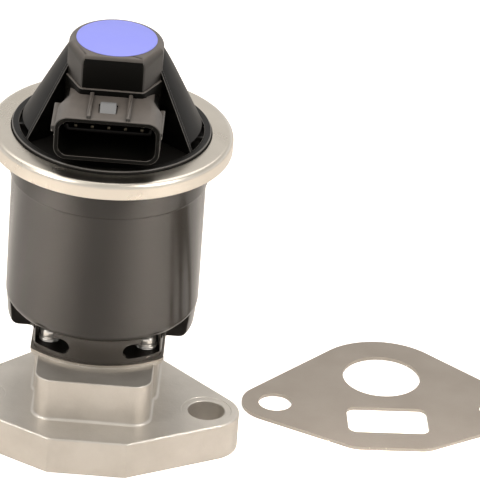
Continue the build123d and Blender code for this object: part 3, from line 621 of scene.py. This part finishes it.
def blendColors(tree, factor, first, second):
    mix = addNode(tree, "ShaderNodeMix", {"data_type": "RGBA"})
    mix.inputs[6].default_value = (*first, 1)
    mix.inputs[7].default_value = (*second, 1)
    tree.links.new(factor, mix.inputs[0])
    return mix.outputs[2]


# A material with one group for its skin: the drift moves its roughness, and its tones unless the mask of dust
# and painted top light does
def makeMaterial(name, group, groupValues, shaderValues, drift, roughness, tones=None, dustAndTopLight=False):
    material = bpy.data.materials.new(name)
    tree = emptyTree(material)
    shader = addNode(tree, "ShaderNodeBsdfPrincipled", shaderValues)
    addNode(tree, "ShaderNodeOutputMaterial", Surface=shader.outputs[0])
    skin = useGroup(tree, group, groupValues)
    tree.links.new(skin["Normal"], shader.inputs["Normal"])
    tree.links.new(stretchRange(tree, skin[drift], 0.3, 0.7, *roughness), shader.inputs["Roughness"])
    if dustAndTopLight:
        mask = useGroup(tree, "dustAndTopLightMask", {})["Mask"]
    elif tones:
        mask = stretchRange(tree, skin[drift], 0.35, 0.65)
    if tones:
        tree.links.new(blendColors(tree, mask, *tones), shader.inputs["Base Color"])
    materials[name] = material


for name, (grain, color, ior, roughness) in mouldedLooks.items():
    constants = {"Base Color": (*color, 1), "IOR": ior}
    makeMaterial(name, "mouldSkin", {"Grain": grain}, constants, "Gloss", roughness)
for name, (depth, tones, roughness) in turnedLooks.items():
    makeMaterial(name, "turnedLines", {"Depth": depth}, {"Metallic": 1.0}, "Tone", roughness, tones)
for name, (grain, waves, metallic, tones, roughness, drift) in castLooks.items():
    skin = {"Grain": grain, "Waves": waves}
    makeMaterial(name, "castSkin", skin, {"Metallic": metallic}, drift, roughness, tones)
makeMaterial(
    "dustAndTopLightPlastic", "mouldSkin", {"Grain": dustAndTopLightLook["grain"]}, {"IOR": 1.5}, "Gloss",
    dustAndTopLightLook["roughness"], dustAndTopLightLook["tones"], dustAndTopLight=True,
)
print("materials made:", len(materials))


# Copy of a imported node's mesh, cleaned so that its flat faces are whole
def nodeCopy(name, node):
    seam = 0.002
    source = nodes[node]
    mesh = bmesh.new()
    mesh.from_mesh(source.data)
    bmesh.ops.transform(mesh, matrix=source.matrix_world, verts=mesh.verts)
    bmesh.ops.remove_doubles(mesh, verts=mesh.verts, dist=seam * mm)
    data = bpy.data.meshes.new(name)
    mesh.to_mesh(data)
    mesh.free()
    data.shade_smooth()
    piece = bpy.data.objects.new(name, data)
    bpy.context.scene.collection.objects.link(piece)
    return piece


# Casting: two-bolt flange, block over the outlet port and the pad that carries the solenoid
bodyShape = {
    "boltX": 30.0, "boltY": -15.5, "ear": 8.8, "back": 18.8,
    "noseHalf": 10.4, "noseY": -36.6, "noseRound": 0.8,
    "flangeTop": 10.4, "rimRound": 0.6, "footRound": 0.5, "bodyTop": 22.2,
    "blockHalf": 15.4, "blockFront": -26.9, "blockRear": -8.0, "blockCorner": 4.6, "blockEdge": 0.35,
    "flare": 0.85, "pad": (16.4, 17.7, 12.2, 2.0), "padEdge": 0.2,
    "lip": (17.6, 18.9, 12.2, 2.0), "lipLow": 21.6, "lipTop": 22.6, "lipRounds": (0.15, 0.12),
    "boltHole": 4.85, "boltFoot": 0.4, "boltEdge": 0.35,
    "spotFace": 6.6, "spotDepth": 0.16, "spotDraft": 0.12, "spotTop": 12.0,
    "inlet": 10.6, "inletEdge": 0.5, "inletLength": 5.0, "inletChamber": 11.6,
    "seat": 10.15, "seatLow": 12.8, "chamber": 10.8, "chamberLow": 16.4, "roof": 19.6, "bush": 5.0,
    "outletHalf": 10.9, "outletBack": -16.8, "outletFront": -29.8, "outletCorner": 2.5, "outletRise": 6.0,
    "riserFront": -24.3, "riserLow": 5.5, "bridgeHalf": 8.8, "bridgeFront": -18.7, "bridgeBack": -8.3,
    "screw": (12.8, 8.0), "screwHole": 2.0, "screwLow": 14.6, "cutLow": -1.0, "cutTop": 24.0,
}


def flangeOutline(shape):
    points = circle((0, 0), shape["back"], 180)
    for side in (-1, 1):
        points += circle((side * shape["boltX"], shape["boltY"]), shape["ear"], 120)
        points.append((side * shape["noseHalf"], shape["noseY"]))
    ring = hull(points)
    radii = [shape["noseRound"] if abs(p.y - shape["noseY"]) < 0.01 else 0.0 for p in ring]
    return roundCorners(ring, radii)


# Outline of the foot and the pad: flat sides, bowed front and back
def barrelOutline(halfWidth, front, shoulder, corner):
    rise = front - shoulder
    radius = (halfWidth ** 2 + rise ** 2) / (2 * rise)
    spread = math.degrees(math.asin(halfWidth / radius))
    points, radii = [], []
    for side in (-1, 1):
        middle = (0, side * (front - radius))
        points += arc(middle, radius, 90 * side - spread, 90 * side + spread, 28)
        radii += [corner] + [0.0] * 27 + [corner]
    return softenCorners(points, radii)


def inletCutter(shape):
    inlet, edge, wide = shape["inlet"], shape["inletEdge"], shape["inletChamber"]
    low, top = shape["cutLow"], shape["cutTop"]
    profile = [(0, low), (inlet + edge, low), (inlet + edge, 0), (inlet, edge), (inlet, shape["inletLength"])]
    profile += [(wide, shape["inletLength"] + wide - inlet), (wide, shape["seatLow"])]
    profile += [(shape["seat"], shape["seatLow"]), (shape["seat"], shape["chamberLow"])]
    profile += [(shape["chamber"], shape["chamberLow"]), (shape["chamber"], shape["roof"])]
    profile += [(shape["bush"], shape["roof"]), (shape["bush"], top), (0, top)]
    return lathe("cutter", profile, 96)


def boltCutter(shape, side):
    hole, foot, edge, spot = shape["boltHole"], shape["boltFoot"], shape["boltEdge"], shape["spotFace"]
    floor, low, top = shape["flangeTop"] - shape["spotDepth"], shape["cutLow"], shape["spotTop"]
    wide = spot + shape["spotDraft"]
    profile = [(0, low), (hole + foot, low), (hole + foot, 0), (hole, foot)]
    profile += [(hole + edge * rise, floor - edge * draw) for rise, draw in quarterTurn(4)]
    profile += [(spot, floor), (wide, shape["flangeTop"]), (wide, top), (0, top)]
    return lathe("cutter", profile, 72, (side * shape["boltX"], shape["boltY"]))


# Passages from the outlet port up and back to the chamber above the seat
def outletCutters(shape):
    half, back, corner, roof = shape["outletHalf"], shape["outletBack"], shape["outletCorner"], shape["roof"]
    port = rectangle(-half, half, shape["outletFront"], back, corner)
    riser = rectangle(-half, half, shape["riserFront"], back, corner)
    bridge = rectangle(-shape["bridgeHalf"], shape["bridgeHalf"], shape["bridgeFront"], shape["bridgeBack"])
    return [
        prism("cutter", port, shape["cutLow"], shape["outletRise"]),
        prism("cutter", riser, shape["riserLow"], roof),
        prism("cutter", bridge, shape["chamberLow"], roof),
    ]


def makeValveBody(shape):
    foot, top, half, flare = shape["flangeTop"], shape["bodyTop"], shape["blockHalf"], shape["flare"]
    piece = prism("valveBody", flangeOutline(shape), 0, foot, shape["footRound"], shape["rimRound"])
    block = rectangle(-half, half, shape["blockFront"], shape["blockRear"], shape["blockCorner"], 10)
    combine(piece, "UNION", [
        flaredPrism("block", block, foot, top, flare, shape["blockEdge"]),
        flaredPrism("pad", barrelOutline(*shape["pad"]), foot, top, flare, shape["padEdge"]),
        prism("lip", barrelOutline(*shape["lip"]), shape["lipLow"], shape["lipTop"], *shape["lipRounds"]),
    ])
    cutters = [inletCutter(shape), *(boltCutter(shape, side) for side in (-1, 1)), *outletCutters(shape)]
    for place in fourPlaces(*shape["screw"]):
        hole = circle(place, shape["screwHole"], 36)
        cutters.append(prism("cutter", hole, shape["screwLow"], shape["cutTop"]))
    weighNormals(cutAway(piece, cutters))
    dress(piece, materials["castMetal"], ["valve_body"])


# Clinch ring, rolled over the cap's flange and under the can's
ringShape = {
    "radius": 31.9, "inner": 26.1, "bottom": 79.4, "top": 84.0, "sheet": 0.8,
    "topRound": 1.5, "bottomRound": 0.5, "tipRound": 0.3, "edge": 0.1,
}


def makeCrimpRing(shape):
    r, inner, sheet, edge = shape["radius"], shape["inner"], shape["sheet"], shape["edge"]
    low, high, soft, tip = shape["bottom"], shape["top"], shape["topRound"], shape["tipRound"]
    profile = [(inner, low + edge), (inner + edge, low)]
    profile += arc((r - shape["bottomRound"], low + shape["bottomRound"]), shape["bottomRound"], -90, 0, 6)
    profile += arc((r - soft, high - soft), soft, 0, 90, 12)
    profile += arc((inner + tip, high - tip), tip, 90, 180, 5)
    profile += [(inner, high - sheet)]
    profile += arc((r - soft, high - soft), soft - sheet, 90, 0, 8)
    profile += [(r - sheet, low + sheet), (inner, low + sheet)]
    piece = lathe("crimpRing", profile, 192)
    dress(piece, materials["stainless"], ["crimp_ring"])


# Solenoid can: drawn barrel, necked foot with vent windows, and two ears
barrelShape = {
    "radius": 25.5, "wall": 1.2, "bottom": 33.1, "edge": 3.0, "hole": 12.0, "flare": 0.5, "flareAt": 70.4,
    "flareSteps": ((0.0, -0.12), (0.05, 0.0), (0.2, 0.12), (0.3, 0.38), (0.45, 0.52), (0.5, 0.7)),
    "fillet": 0.5, "flangeRadius": 30.7, "flange": 1.2, "flangeEdge": 0.2, "top": 81.4, "crisp": 28,
}
neckShape = {
    "half": 17.05, "front": 18.2, "shoulder": 10.9, "corner": 2.0, "wall": 1.2,
    "bottom": 23.2, "floor": 1.4, "top": 33.7, "hole": 7.0, "footRound": 0.15, "edge": 0.25,
    "windowLow": 24.6, "windowHigh": 28.8, "windowNear": 7.05, "windowFar": 16.5,
    "windowStep": (11.6, 32.0), "windowDepths": ((-21.2, -8.0), (8.0, 21.2)),
}
earShape = {
    "halfDepth": 9.0, "low": 28.35, "high": 37.3, "lowRadius": 24.6, "radius": 25.5, "corner": 1.3,
    "sideEdge": 0.5, "fillet": 1.6, "root": 16.6, "skin": 17.05, "crisp": 40,
}


def makeCanBarrel(shape):
    r, wall, hole, low, edge = (shape[key] for key in ("radius", "wall", "hole", "bottom", "edge"))
    fillet, out, lip, top = (shape[key] for key in ("fillet", "flangeRadius", "flangeEdge", "top"))
    wide, under = r + shape["flare"] + fillet, top - shape["flange"]
    profile = [(hole, low)]
    profile += arc((r - edge, low + edge), edge, -90, 0, 14)
    profile += [(r + spread, shape["flareAt"] + rise) for spread, rise in shape["flareSteps"]]
    profile += arc((wide, under - fillet), fillet, 180, 90, 5)
    profile += [(out - lip, under), (out, under + lip), (out, top - lip), (out - lip, top), (r - wall, top)]
    profile += [(r - wall, low + edge)]
    profile += arc((r - edge, low + edge), edge - wall, 0, -90, 8)
    profile += [(hole, low + wall)]
    return lathe("canBarrel", profile, 192, crisp=shape["crisp"])


# Outline of the right vent window, which is stepped at its outer end
def windowOutline(shape):
    low, high, far = shape["windowLow"], shape["windowHigh"], shape["windowFar"]
    half = (high - low) / 2
    step, rise = shape["windowStep"]
    rounded = arc((shape["windowNear"] + half, low + half), half, 90, 270, 14)
    return rounded + [(far, low), (far, rise), (step, rise), (step, high)]


def makeCanNeck(shape):
    half, front, shoulder, corner = (shape[key] for key in ("half", "front", "shoulder", "corner"))
    wall, low, top = shape["wall"], shape["bottom"], shape["top"]
    floor = low + shape["floor"]
    inside = barrelOutline(half - wall, front - wall, shoulder, corner - wall)
    outline = barrelOutline(half, front, shoulder, corner)
    piece = prism("canNeck", outline, low, top, shape["footRound"])
    cutters = [
        prism("cutter", inside, floor, top + 1),
        prism("cutter", circle((0, 0), shape["hole"], 60), low - 1, floor + 1),
    ]
    for side in (-1, 1):
        for near, far in shape["windowDepths"]:
            cutters.append(beam("cutter", onSide(side, windowOutline(shape)), near, far))
    return bevelEdges(cutAway(piece, cutters), shape["edge"], segments=3, angle=40)


def makeCanEar(name, shape, side):
    low, high, half = shape["low"], shape["high"], shape["halfDepth"]
    fillet, skin, edge = shape["fillet"], shape["skin"], shape["sideEdge"]
    upper = [(shape["root"], half + fillet), (skin, half + fillet)]
    upper += arc((skin + fillet, half + fillet), fillet, 180, 270, 6)[1:]
    lower = [(x, -y) for x, y in upper[::-1]]
    plain = [0.0] * len(upper)
    rings = []
    for z, inset in wallLevels(low, high, shape["corner"], 0, 7):
        share = (z - low) / (high - low)
        reach = shape["lowRadius"] + (shape["radius"] - shape["lowRadius"]) * share - inset
        turn = math.degrees(math.asin(half / reach))
        rim = arc((0, 0), reach, turn, -turn, 20)
        radii = plain + [edge] + [0.0] * (len(rim) - 2) + [edge] + plain
        outline = softenCorners(upper + rim + lower, radii, 5)
        rings.append([(side * x, y, z) for x, y in outline])
    return skinStacks(name, [rings], shape["crisp"])


def makeHousingCan():
    barrel = makeCanBarrel(barrelShape)
    neck = makeCanNeck(neckShape)
    ears = [makeCanEar("canEar" + tag, earShape, side) for tag, side in sides.items()]
    for piece in [barrel, neck, *ears]:
        dress(piece, materials["neckCoat" if piece is neck else "blackCoat"], ["housing_can"])
    for piece in [neck, *ears]:
        piece.data.materials.append(materials["paintedShadeCoat"])
    # Painted shade: the neck's inner and upward faces and the ears' front and back faces take the darker coat
    steep = 0.8  # share of a normal from which a face counts as turned that way
    for face in neck.data.polygons:
        inward = face.normal.x * face.center.x + face.normal.y * face.center.y < 0
        face.material_index = 1 if inward or face.normal.z > steep else 0
    for piece in ears:
        for face in piece.data.polygons:
            face.material_index = 1 if abs(face.normal.y) > steep else 0


# Moulded cap: disc with a raised rim, over a spigot that enters the can
discShape = {
    "flangeRadius": 30.6, "flangeLow": 81.9, "flangeHigh": 83.2, "radius": 26.0, "bore": 8.2,
    "rimTop": 84.8, "rimWidth": 2.0, "rimRound": 0.38, "floor": 83.9, "floorRound": 0.25,
    "spigotRadius": 24.22, "spigotWall": 1.6, "spigotLow": 78.0,
    "paintedHighlightFrom": 0.3, "paintedHighlightTo": 0.93,  # upward share of the normals on the rim that take its painted highlight
}


def makeCapDisc(shape):
    r, rim, soft, floor = shape["radius"], shape["rimTop"], shape["rimRound"], shape["floor"]
    low, high, out = shape["flangeLow"], shape["flangeHigh"], shape["flangeRadius"]
    spigot, foot, bowl = shape["spigotRadius"], shape["spigotLow"], shape["floorRound"]
    hollow, inner = spigot - shape["spigotWall"], r - shape["rimWidth"]
    profile = [(shape["bore"], low), (hollow, low), (hollow, foot), (spigot, foot), (spigot, low)]
    profile += [(out, low), (out, high), (r, high)]
    profile += arc((r - soft, rim - soft), soft, 0, 90, 6)
    profile += arc((inner + soft, rim - soft), soft, 90, 180, 6)
    profile += arc((inner - bowl, floor + bowl), bowl, 0, -90, 4)
    profile += [(shape["bore"], floor)]
    return lathe("capDisc", profile, 192)


# Tower: round behind, with a narrower flat face in front and a ledge around its foot
towerShape = {
    "radius": 12.3, "front": 12.0, "faceHalf": 8.0, "cheekEnd": 3.6, "low": 83.3, "top": 109.9,
    "edge": 1.5, "edgeDrop": 1.5, "frontDrop": 2.9, "evenFront": 0.5, "corner": 1.0,
    "ledgeTop": 101.0, "ledge": 0.6, "ledgeRound": 0.3, "bore": 8.2, "roof": 107.6,
}


def towerOutline(shape, grow):
    r, front, half = shape["radius"] + grow, shape["front"] + grow, shape["faceHalf"] + grow / 2
    end = shape["cheekEnd"]
    back = arc((0, 0), r, 0, 180, 40)
    radii = [0.0] * len(back) + [shape["corner"] + grow] * 4
    return roundCorners(back + [(-r, -end), (-half, -front), (half, -front), (r, -end)], radii, 6)


# The rounded edge of the roof comes down further towards the front
def makeCapTower(shape):
    outline = towerOutline(shape, 0)
    cheek = shape["front"] - shape["cheekEnd"] - shape["evenFront"]
    rings = [[(x, y, shape["low"]) for x, y in outline]]
    for rise, draw in quarterTurn(8):
        ring = []
        for foot, p in zip(outline, shrink(outline, shape["edge"] * rise)):
            share = min(1, max(0, (-foot.y - shape["cheekEnd"]) / cheek))
            drop = shape["edgeDrop"] + (shape["frontDrop"] - shape["edgeDrop"]) * share
            ring.append((p.x, p.y, shape["top"] - drop * draw))
        rings.append(ring)
    tower = skinStacks("capTower", [rings])
    grown = towerOutline(shape, shape["ledge"])
    ledge = prism("capLedge", grown, shape["low"], shape["ledgeTop"], 0, shape["ledgeRound"])
    for piece in (tower, ledge):
        bore = circle((0, 0), shape["bore"], 60)
        cutAway(piece, [prism("cutter", bore, shape["low"] - 1, shape["roof"])])
    return [tower, ledge]


# Wings: each lies between two upright faces and a leaning cone, and its foot has cored pockets
wingShape = {
    "near": (11.8, 4.0), "far": (21.2, 12.1), "footRadius": 24.3, "footHeight": 84.9,
    "topRadius": 11.8, "topHeight": 107.4, "lean": 3.8, "low": 83.5, "rear": 3.3, "skinBack": 0.15,
    "edge": 0.35, "edgeShare": 0.4, "levels": 40, "finLevels": 12, "finThick": 1.0, "finEdge": 0.13,
    "crisp": 30,
}
pocketShape = {
    "front": (83.9, [(21.0, -10.6), (26, -14.92), (26, -3.35), (21.0, -3.35)]),
    "rear": (83.9, [(22.1, -2.25), (26, -2.25), (26, 3.6), (22.1, 3.6)]),
    "web": (84.7, [(21.0, -3.6), (26, -3.6), (26, -2.0), (22.1, -2.0)]),
}
pocketTop = 86.4


# Sections of the cone, as (height, radius, centre); it goes on straight below its foot
def coneLevels(shape, count, skinBack=0.0):
    foot, top = shape["footHeight"], shape["topHeight"]
    shares = [i / count for i in range(count + 1)]
    steps = [(shape["low"], 0.0)] + [(foot + (top - foot) * share, share) for share in shares]
    levels = []
    for z, share in steps:
        radius = shape["footRadius"] + (shape["topRadius"] - shape["footRadius"]) * share - skinBack
        levels.append((z, radius, Vector((0, shape["lean"] * share))))
    return levels


# How far a point inside a circle is from it along a unit direction
def reachCircle(start, direction, center, radius):
    offset = start - center
    dot = offset.dot(direction)
    return -dot + math.sqrt(max(dot * dot - offset.length_squared + radius * radius, 0))


def wingDirection(shape):
    return (Vector(shape["far"]) - Vector(shape["near"])).normalized()


# Section of a wing at one level, with its two outer corners rounded
def wingSection(shape, radius, center):
    x, y = shape["near"]
    along = wingDirection(shape)
    halves = []
    for way in (-1, 1):
        start, outward = Vector((x, way * y)), Vector((along.x, way * along.y))
        reach = reachCircle(start, outward, center, radius)
        corner = start + outward * reach
        edge = min(shape["edge"], (reach + shape["rear"]) * shape["edgeShare"])
        turn = math.degrees(math.atan2(corner.y - center.y, corner.x - center.x))
        slip = turn - way * math.degrees(edge / radius)
        rimStart = arc(center, radius, slip, slip, 1)[0]
        soft = softBend(corner - outward * edge, corner, rimStart, 5)[:-1]
        halves.append(([start - outward * shape["rear"], *soft], slip))
    (front, low), (back, high) = halves
    return front + arc(center, radius, low, high, 28) + back[::-1]


def makeCapWing(name, shape, side):
    rings = []
    for z, radius, center in coneLevels(shape, shape["levels"], shape["skinBack"]):
        rings.append([(side * x, y, z) for x, y in wingSection(shape, radius, center)])
    wing = skinStacks(name, [rings], shape["crisp"])
    cutters = []
    for floor, outline in pocketShape.values():
        cutters.append(prism("cutter", onSide(side, outline), floor, pocketTop))
    return cutAway(wing, cutters)


# Thin plate that stands proud along the front of a wing
def makeCapFin(name, shape, side):
    x, y = shape["near"]
    along = wingDirection(shape)
    forward, rear = Vector((along.x, -along.y)), shape["rear"]
    front = Vector((x, -y))
    back = front + Vector((-forward.y, forward.x)) * shape["finThick"]
    rings = []
    for z, radius, center in coneLevels(shape, shape["finLevels"]):
        outline = [
            front - forward * rear,
            front + forward * reachCircle(front, forward, center, radius),
            back + forward * reachCircle(back, forward, center, radius),
            back - forward * rear,
        ]
        rings.append([(side * p.x, p.y, z) for p in outline])
    fin = bevelEdges(skinStacks(name, [rings]), shape["finEdge"], segments=2, angle=40)
    # The bevelled edges of the fin take the second material, a painted highlight
    fin.modifiers["bevel"].material = 1
    return fin


# Connector shroud with its socket, and what stands on it and in it
shroudShape = {
    "half": 13.6, "low": 87.4, "high": 99.4, "corner": 3.4, "mouth": -26.3, "socketBack": -10.6,
    "neckSteps": ((-4.0, 11.9), (-11.8, 11.9), (-16.05, 13.47), (-16.3, 13.6), (-16.6, 13.6)),  # y, half
    "wall": 1.2, "innerCorner": 2.6, "lipRound": 0.35, "innerRound": 0.2,
}
trayShape = {
    "half": 11.2, "top": 93.4, "low": 91.6, "wall": 0.8, "corner": 1.2, "rimRound": 0.25,
    "innerCorner": 0.6, "near": -18.0, "far": -10.4, "nearRound": 0.15,
}
ribShape = {
    "x": 5.0, "half": 0.55, "near": -26.0, "far": -11.5, "corner": 0.2,
    "low": 99.0, "high": 100.3, "round": 0.3,
}
railShape = {
    "inner": 12.7, "outers": {-1: 14.5, 1: 14.0}, "near": -25.4, "far": -12.2, "corner": 0.25,
    "low": 94.6, "high": 96.4, "round": 0.3,
}
latchShape = {
    "x": -0.4, "half": 2.1, "rear": -17.7, "front": -22.0, "crest": 1.1, "base": 98.8, "top": 100.4,
    "edge": 0.22, "gap": 0.35, "pocketCorner": 0.3, "pocketLow": 98.95, "pocketTop": 102.0,
}
pedestalShape = {"half": 9.6, "near": -17.5, "far": -10.0, "low": 83.6, "high": 87.8, "corner": 0.6}


def shroudRing(shape, y, half, inset, corner):
    width = half - inset
    outline = rectangle(-width, width, shape["low"] + inset, shape["high"] - inset, corner, 8)
    return [(x, y, z) for x, z in outline]


def makeShroud(shape, latch):
    half, mouth, wall = shape["half"], shape["mouth"], shape["wall"]
    lip, inner, hollow = shape["lipRound"], shape["innerRound"], shape["innerCorner"]
    rings = [shroudRing(shape, y, width, 0, shape["corner"]) for y, width in shape["neckSteps"]]
    for rise, draw in quarterTurn(5):
        rings.append(shroudRing(shape, mouth + lip * draw, half, lip * rise, shape["corner"] - lip * rise))
    for rise, draw in quarterTurn(4):
        rings.append(shroudRing(shape, mouth + inner * rise, half, wall - inner * draw, hollow))
    rings.append(shroudRing(shape, shape["socketBack"], half, wall, hollow))
    x, across, gap = latch["x"], latch["half"] + latch["gap"], latch["gap"]
    corner = latch["pocketCorner"]
    pocket = rectangle(x - across, x + across, latch["front"] - gap, latch["rear"] + gap, corner, 3)
    cutter = prism("cutter", pocket, latch["pocketLow"], latch["pocketTop"])
    return cutAway(skinStacks("capShroud", [rings]), [cutter])


def makeTray(shape):
    half, top, low, wall = shape["half"], shape["top"], shape["low"], shape["wall"]
    inner, floor = half - wall, low + wall
    points = [(-half, low), (half, low), (half, top), (inner, top)]
    points += [(inner, floor), (-inner, floor), (-inner, top), (-half, top)]
    outer, rim, hollow = ([shape[key]] * 2 for key in ("corner", "rimRound", "innerCorner"))
    outline = roundCorners(points, outer + rim + hollow + rim, 4)
    return beam("capTray", outline, shape["near"], shape["far"], shape["nearRound"])


def makeRib(name, shape, side):
    middle, half = side * shape["x"], shape["half"]
    outline = rectangle(middle - half, middle + half, shape["near"], shape["far"], shape["corner"], 4)
    return prism(name, outline, shape["low"], shape["high"], 0, shape["round"])


def makeRail(name, shape, side):
    left, right = sorted((side * shape["inner"], side * shape["outers"][side]))
    outline = rectangle(left, right, shape["near"], shape["far"], shape["corner"], 4)
    return prism(name, outline, shape["low"], shape["high"], shape["round"], shape["round"])


def makeLatch(shape):
    rear, top, base = shape["rear"], shape["top"], shape["base"]
    profile = [(shape["front"], base), (rear - shape["crest"], top), (rear, top), (rear, base)]
    rings = [[(shape["x"] + x, y, z) for y, z in profile] for x in (-shape["half"], shape["half"])]
    return bevelEdges(skinStacks("capLatch", [rings]), shape["edge"], segments=3, angle=30)


def makePedestal(shape):
    outline = rectangle(-shape["half"], shape["half"], shape["near"], shape["far"], shape["corner"], 5)
    return prism("capPedestal", outline, shape["low"], shape["high"])


# Faces of a piece of the cap that take its second material: painted highlight on the disc's rim, painted
# shade on the fronts of the tower and the shroud's mouth, the sides of the ledge and inside the socket
def takesSecond(name, middle, normal):
    forward = normal.y < -0.9
    if name == "capDisc":
        onRim = middle.z > discShape["floor"] + discShape["rimRound"]
        return onRim and discShape["paintedHighlightFrom"] < normal.z < discShape["paintedHighlightTo"]
    if name == "capShroud":
        slack = 0.05
        across = shroudShape["half"] - shroudShape["wall"] + slack
        low, high = shroudShape["low"] + 0.5, shroudShape["high"] - shroudShape["wall"] + slack
        behindMouth = middle.y - shroudShape["mouth"]
        inSocket = abs(middle.x) < across and low < middle.z < high and behindMouth > 3 * slack
        return inSocket or (forward and behindMouth < 2 * slack)
    if name == "capLedge":
        return abs(normal.z) < 0.5
    return name == "capTower" and forward


def makeSensorCap():
    made = [makeCapDisc(discShape), *makeCapTower(towerShape), makeShroud(shroudShape, latchShape)]
    made += [makeTray(trayShape), makeLatch(latchShape)]
    for tag, side in sides.items():
        made.append(makeCapWing("capWing" + tag, wingShape, side))
        made.append(makeCapFin("capFin" + tag, wingShape, side))
        made.append(makeRib("capRib" + tag, ribShape, side))
        made.append(makeRail("capRail" + tag, railShape, side))
    made.append(makePedestal(pedestalShape))
    for piece in made:
        # Upper pieces take the plastic with dust and painted light from above on their top faces
        upper = piece.name.startswith(("capTower", "capLedge", "capShroud", "capRib", "capRail"))
        finish = "dustAndTopLightPlastic" if upper else "blackPlastic"
        finish = "latchPlastic" if piece.name == "capLatch" else finish
        dress(piece, materials[finish], ["sensor_cap"])
        # Second material: painted highlight for the fins and the disc, painted shade for the other pieces
        second = "paintedHighlightPlastic" if piece.name.startswith(("capFin", "capDisc")) else "paintedShadePlastic"
        piece.data.materials.append(materials[second])
        for face in piece.data.polygons:
            if takesSecond(piece.name, face.center / mm, face.normal):
                face.material_index = 1


# Five terminals, in a metal darkened with painted shade
pinShape = {
    "count": 5, "pitch": 4.27, "half": 0.45, "level": 93.0, "tip": -18.0, "root": -9.4,
    "round": 0.1, "tipRound": 0.22,
}


def makeTerminalPins(shape):
    half, level = shape["half"], shape["level"]
    pins = []
    for i in range(shape["count"]):
        x = (i - (shape["count"] - 1) / 2) * shape["pitch"]
        outline = rectangle(x - half, x + half, level - half, level + half, shape["round"], 2)
        pins.append(beamRings(outline, shape["tip"], shape["root"], shape["tipRound"], 3))
    piece = skinStacks("terminalPins", pins)
    dress(piece, materials["paintedShadePinMetal"], ["terminal_pins"])


# Round label on the tower, left bare
labelShape = {"radius": 10.5, "low": 109.9, "high": 110.05, "edge": 0.06, "bulge": 0.3}


def makeLabel(shape):
    r, low, high, edge = shape["radius"], shape["low"], shape["high"], shape["edge"]
    shoulder = edge * shape["bulge"]
    profile = [(0, low), (r, low), (r, high - edge), (r - shoulder, high - shoulder)]
    profile += [(r - edge, high), (0, high)]
    piece = lathe("labelDisc", profile)
    dress(piece, materials["labelFilm"], ["label_disc"])


# Screws in the can's foot: shank, rolled flange, and a domed head with a six-sided recess
screwShape = {
    "place": (12.8, 8.0), "steps": 48, "shank": 1.95, "shankLow": 14.65, "low": 24.6,
    "flangeRadius": 3.05, "flangeFoot": 0.1, "roll": 0.35, "rollRise": 0.45,
    "throat": ((0.28, 0.95), (0.06, 1.2)),  # how far inside the head's radius, and height above low
    "radius": 2.75, "dome": 1.1, "domeDrop": 1.5, "top": 28.4, "crown": 0.5,
    "socket": 1.4, "chamfer": 0.1, "depth": 1.4,
}


def makeScrews(shape):
    low, top, steps = shape["low"], shape["top"], shape["steps"]
    out, head, roll, dome = shape["flangeRadius"], shape["radius"], shape["roll"], shape["dome"]
    profile = [(shape["shank"], shape["shankLow"]), (shape["shank"], low), (out - shape["flangeFoot"], low)]
    profile += arc((out - roll, low + shape["rollRise"]), roll, -60, 110, 8)
    profile += [(head - inset, low + rise) for inset, rise in shape["throat"]]
    profile += arc((head - dome, top - shape["domeDrop"]), dome, 0, 62, 6)
    profile += [(shape["socket"] + shape["crown"], top)]
    flat, chamfer = shape["socket"] * math.cos(math.pi / 6), shape["chamfer"]
    recess = [(flat + chamfer, top), (flat, top - chamfer), (flat, top - shape["depth"])]
    screws = []
    for place in fourPlaces(*shape["place"]):
        outside = [ringAt(place, r, z, steps) for r, z in profile]
        screws.append(outside + [ringAt(place, r, z, steps, hexagon=True) for r, z in recess])
    piece = skinStacks("canScrews", screws)
    dress(piece, materials["screwSteel"], ["can_screws"])


# Loose gasket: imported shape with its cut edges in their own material
def makeLooseGasket():
    piece = nodeCopy("mountingGasket", "mounting_gasket")
    piece.data.set_sharp_from_angle(angle=math.radians(crispAngle))
    dress(piece, materials["gasketMetal"], ["mounting_gasket"])
    piece.data.materials.append(materials["gasketEdge"])
    for face in piece.data.polygons:
        face.material_index = 1 if abs(face.normal.z) < 0.5 else 0


# Return spring: a copy of the imported shape, which in the valve is squeezed onto its seat as the armature
# comes down
def makeReturnSpring():
    piece = nodeCopy("returnSpring", "return_spring")
    dress(piece, materials["screwSteel"], ["return_spring"])
    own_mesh(piece)


# Sensor spring: a copy of the imported shape, which in the valve hangs from the tower's top and lengthens as
# the wiper goes down
def makeSensorSpring():
    piece = nodeCopy("sensorSpring", "sensor_spring")
    piece.data.materials.append(materials["screwSteel"])
    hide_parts("sensor_spring")
    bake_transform(piece)


makeValveBody(bodyShape)
print("valve body made")
makeCrimpRing(ringShape)
makeHousingCan()
print("ring and can made")
makeSensorCap()
makeTerminalPins(pinShape)
makeLabel(labelShape)
print("cap made")
makeScrews(screwShape)
makeLooseGasket()
makeReturnSpring()
makeSensorSpring()
print("screws, loose gasket and springs made")


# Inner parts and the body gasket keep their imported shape
keptNodes = {
    "valve_seat": "steel", "pintle": "steel", "stem_bush": "bronze", "body_gasket": "gasketEdge",
    "lower_stator": "steel", "upper_stator": "steel", "armature_sleeve": "stainless",
    "coil_bobbin": "bobbinPlastic", "coil_winding": "copperWire", "armature": "steel",
    "armature_nut": "screwSteel", "cap_seal": "sealRubber", "sensor_plunger": "bobbinPlastic",
    "sensor_wiper": "paintedShadePinMetal", "sensor_board": "board",
}
for node, material in keptNodes.items():
    data = nodes[node].data
    data.materials.clear()
    data.materials.append(materials[material])
    data.shade_smooth()
    data.set_sharp_from_angle(angle=math.radians(crispAngle))
print("kept nodes dressed")
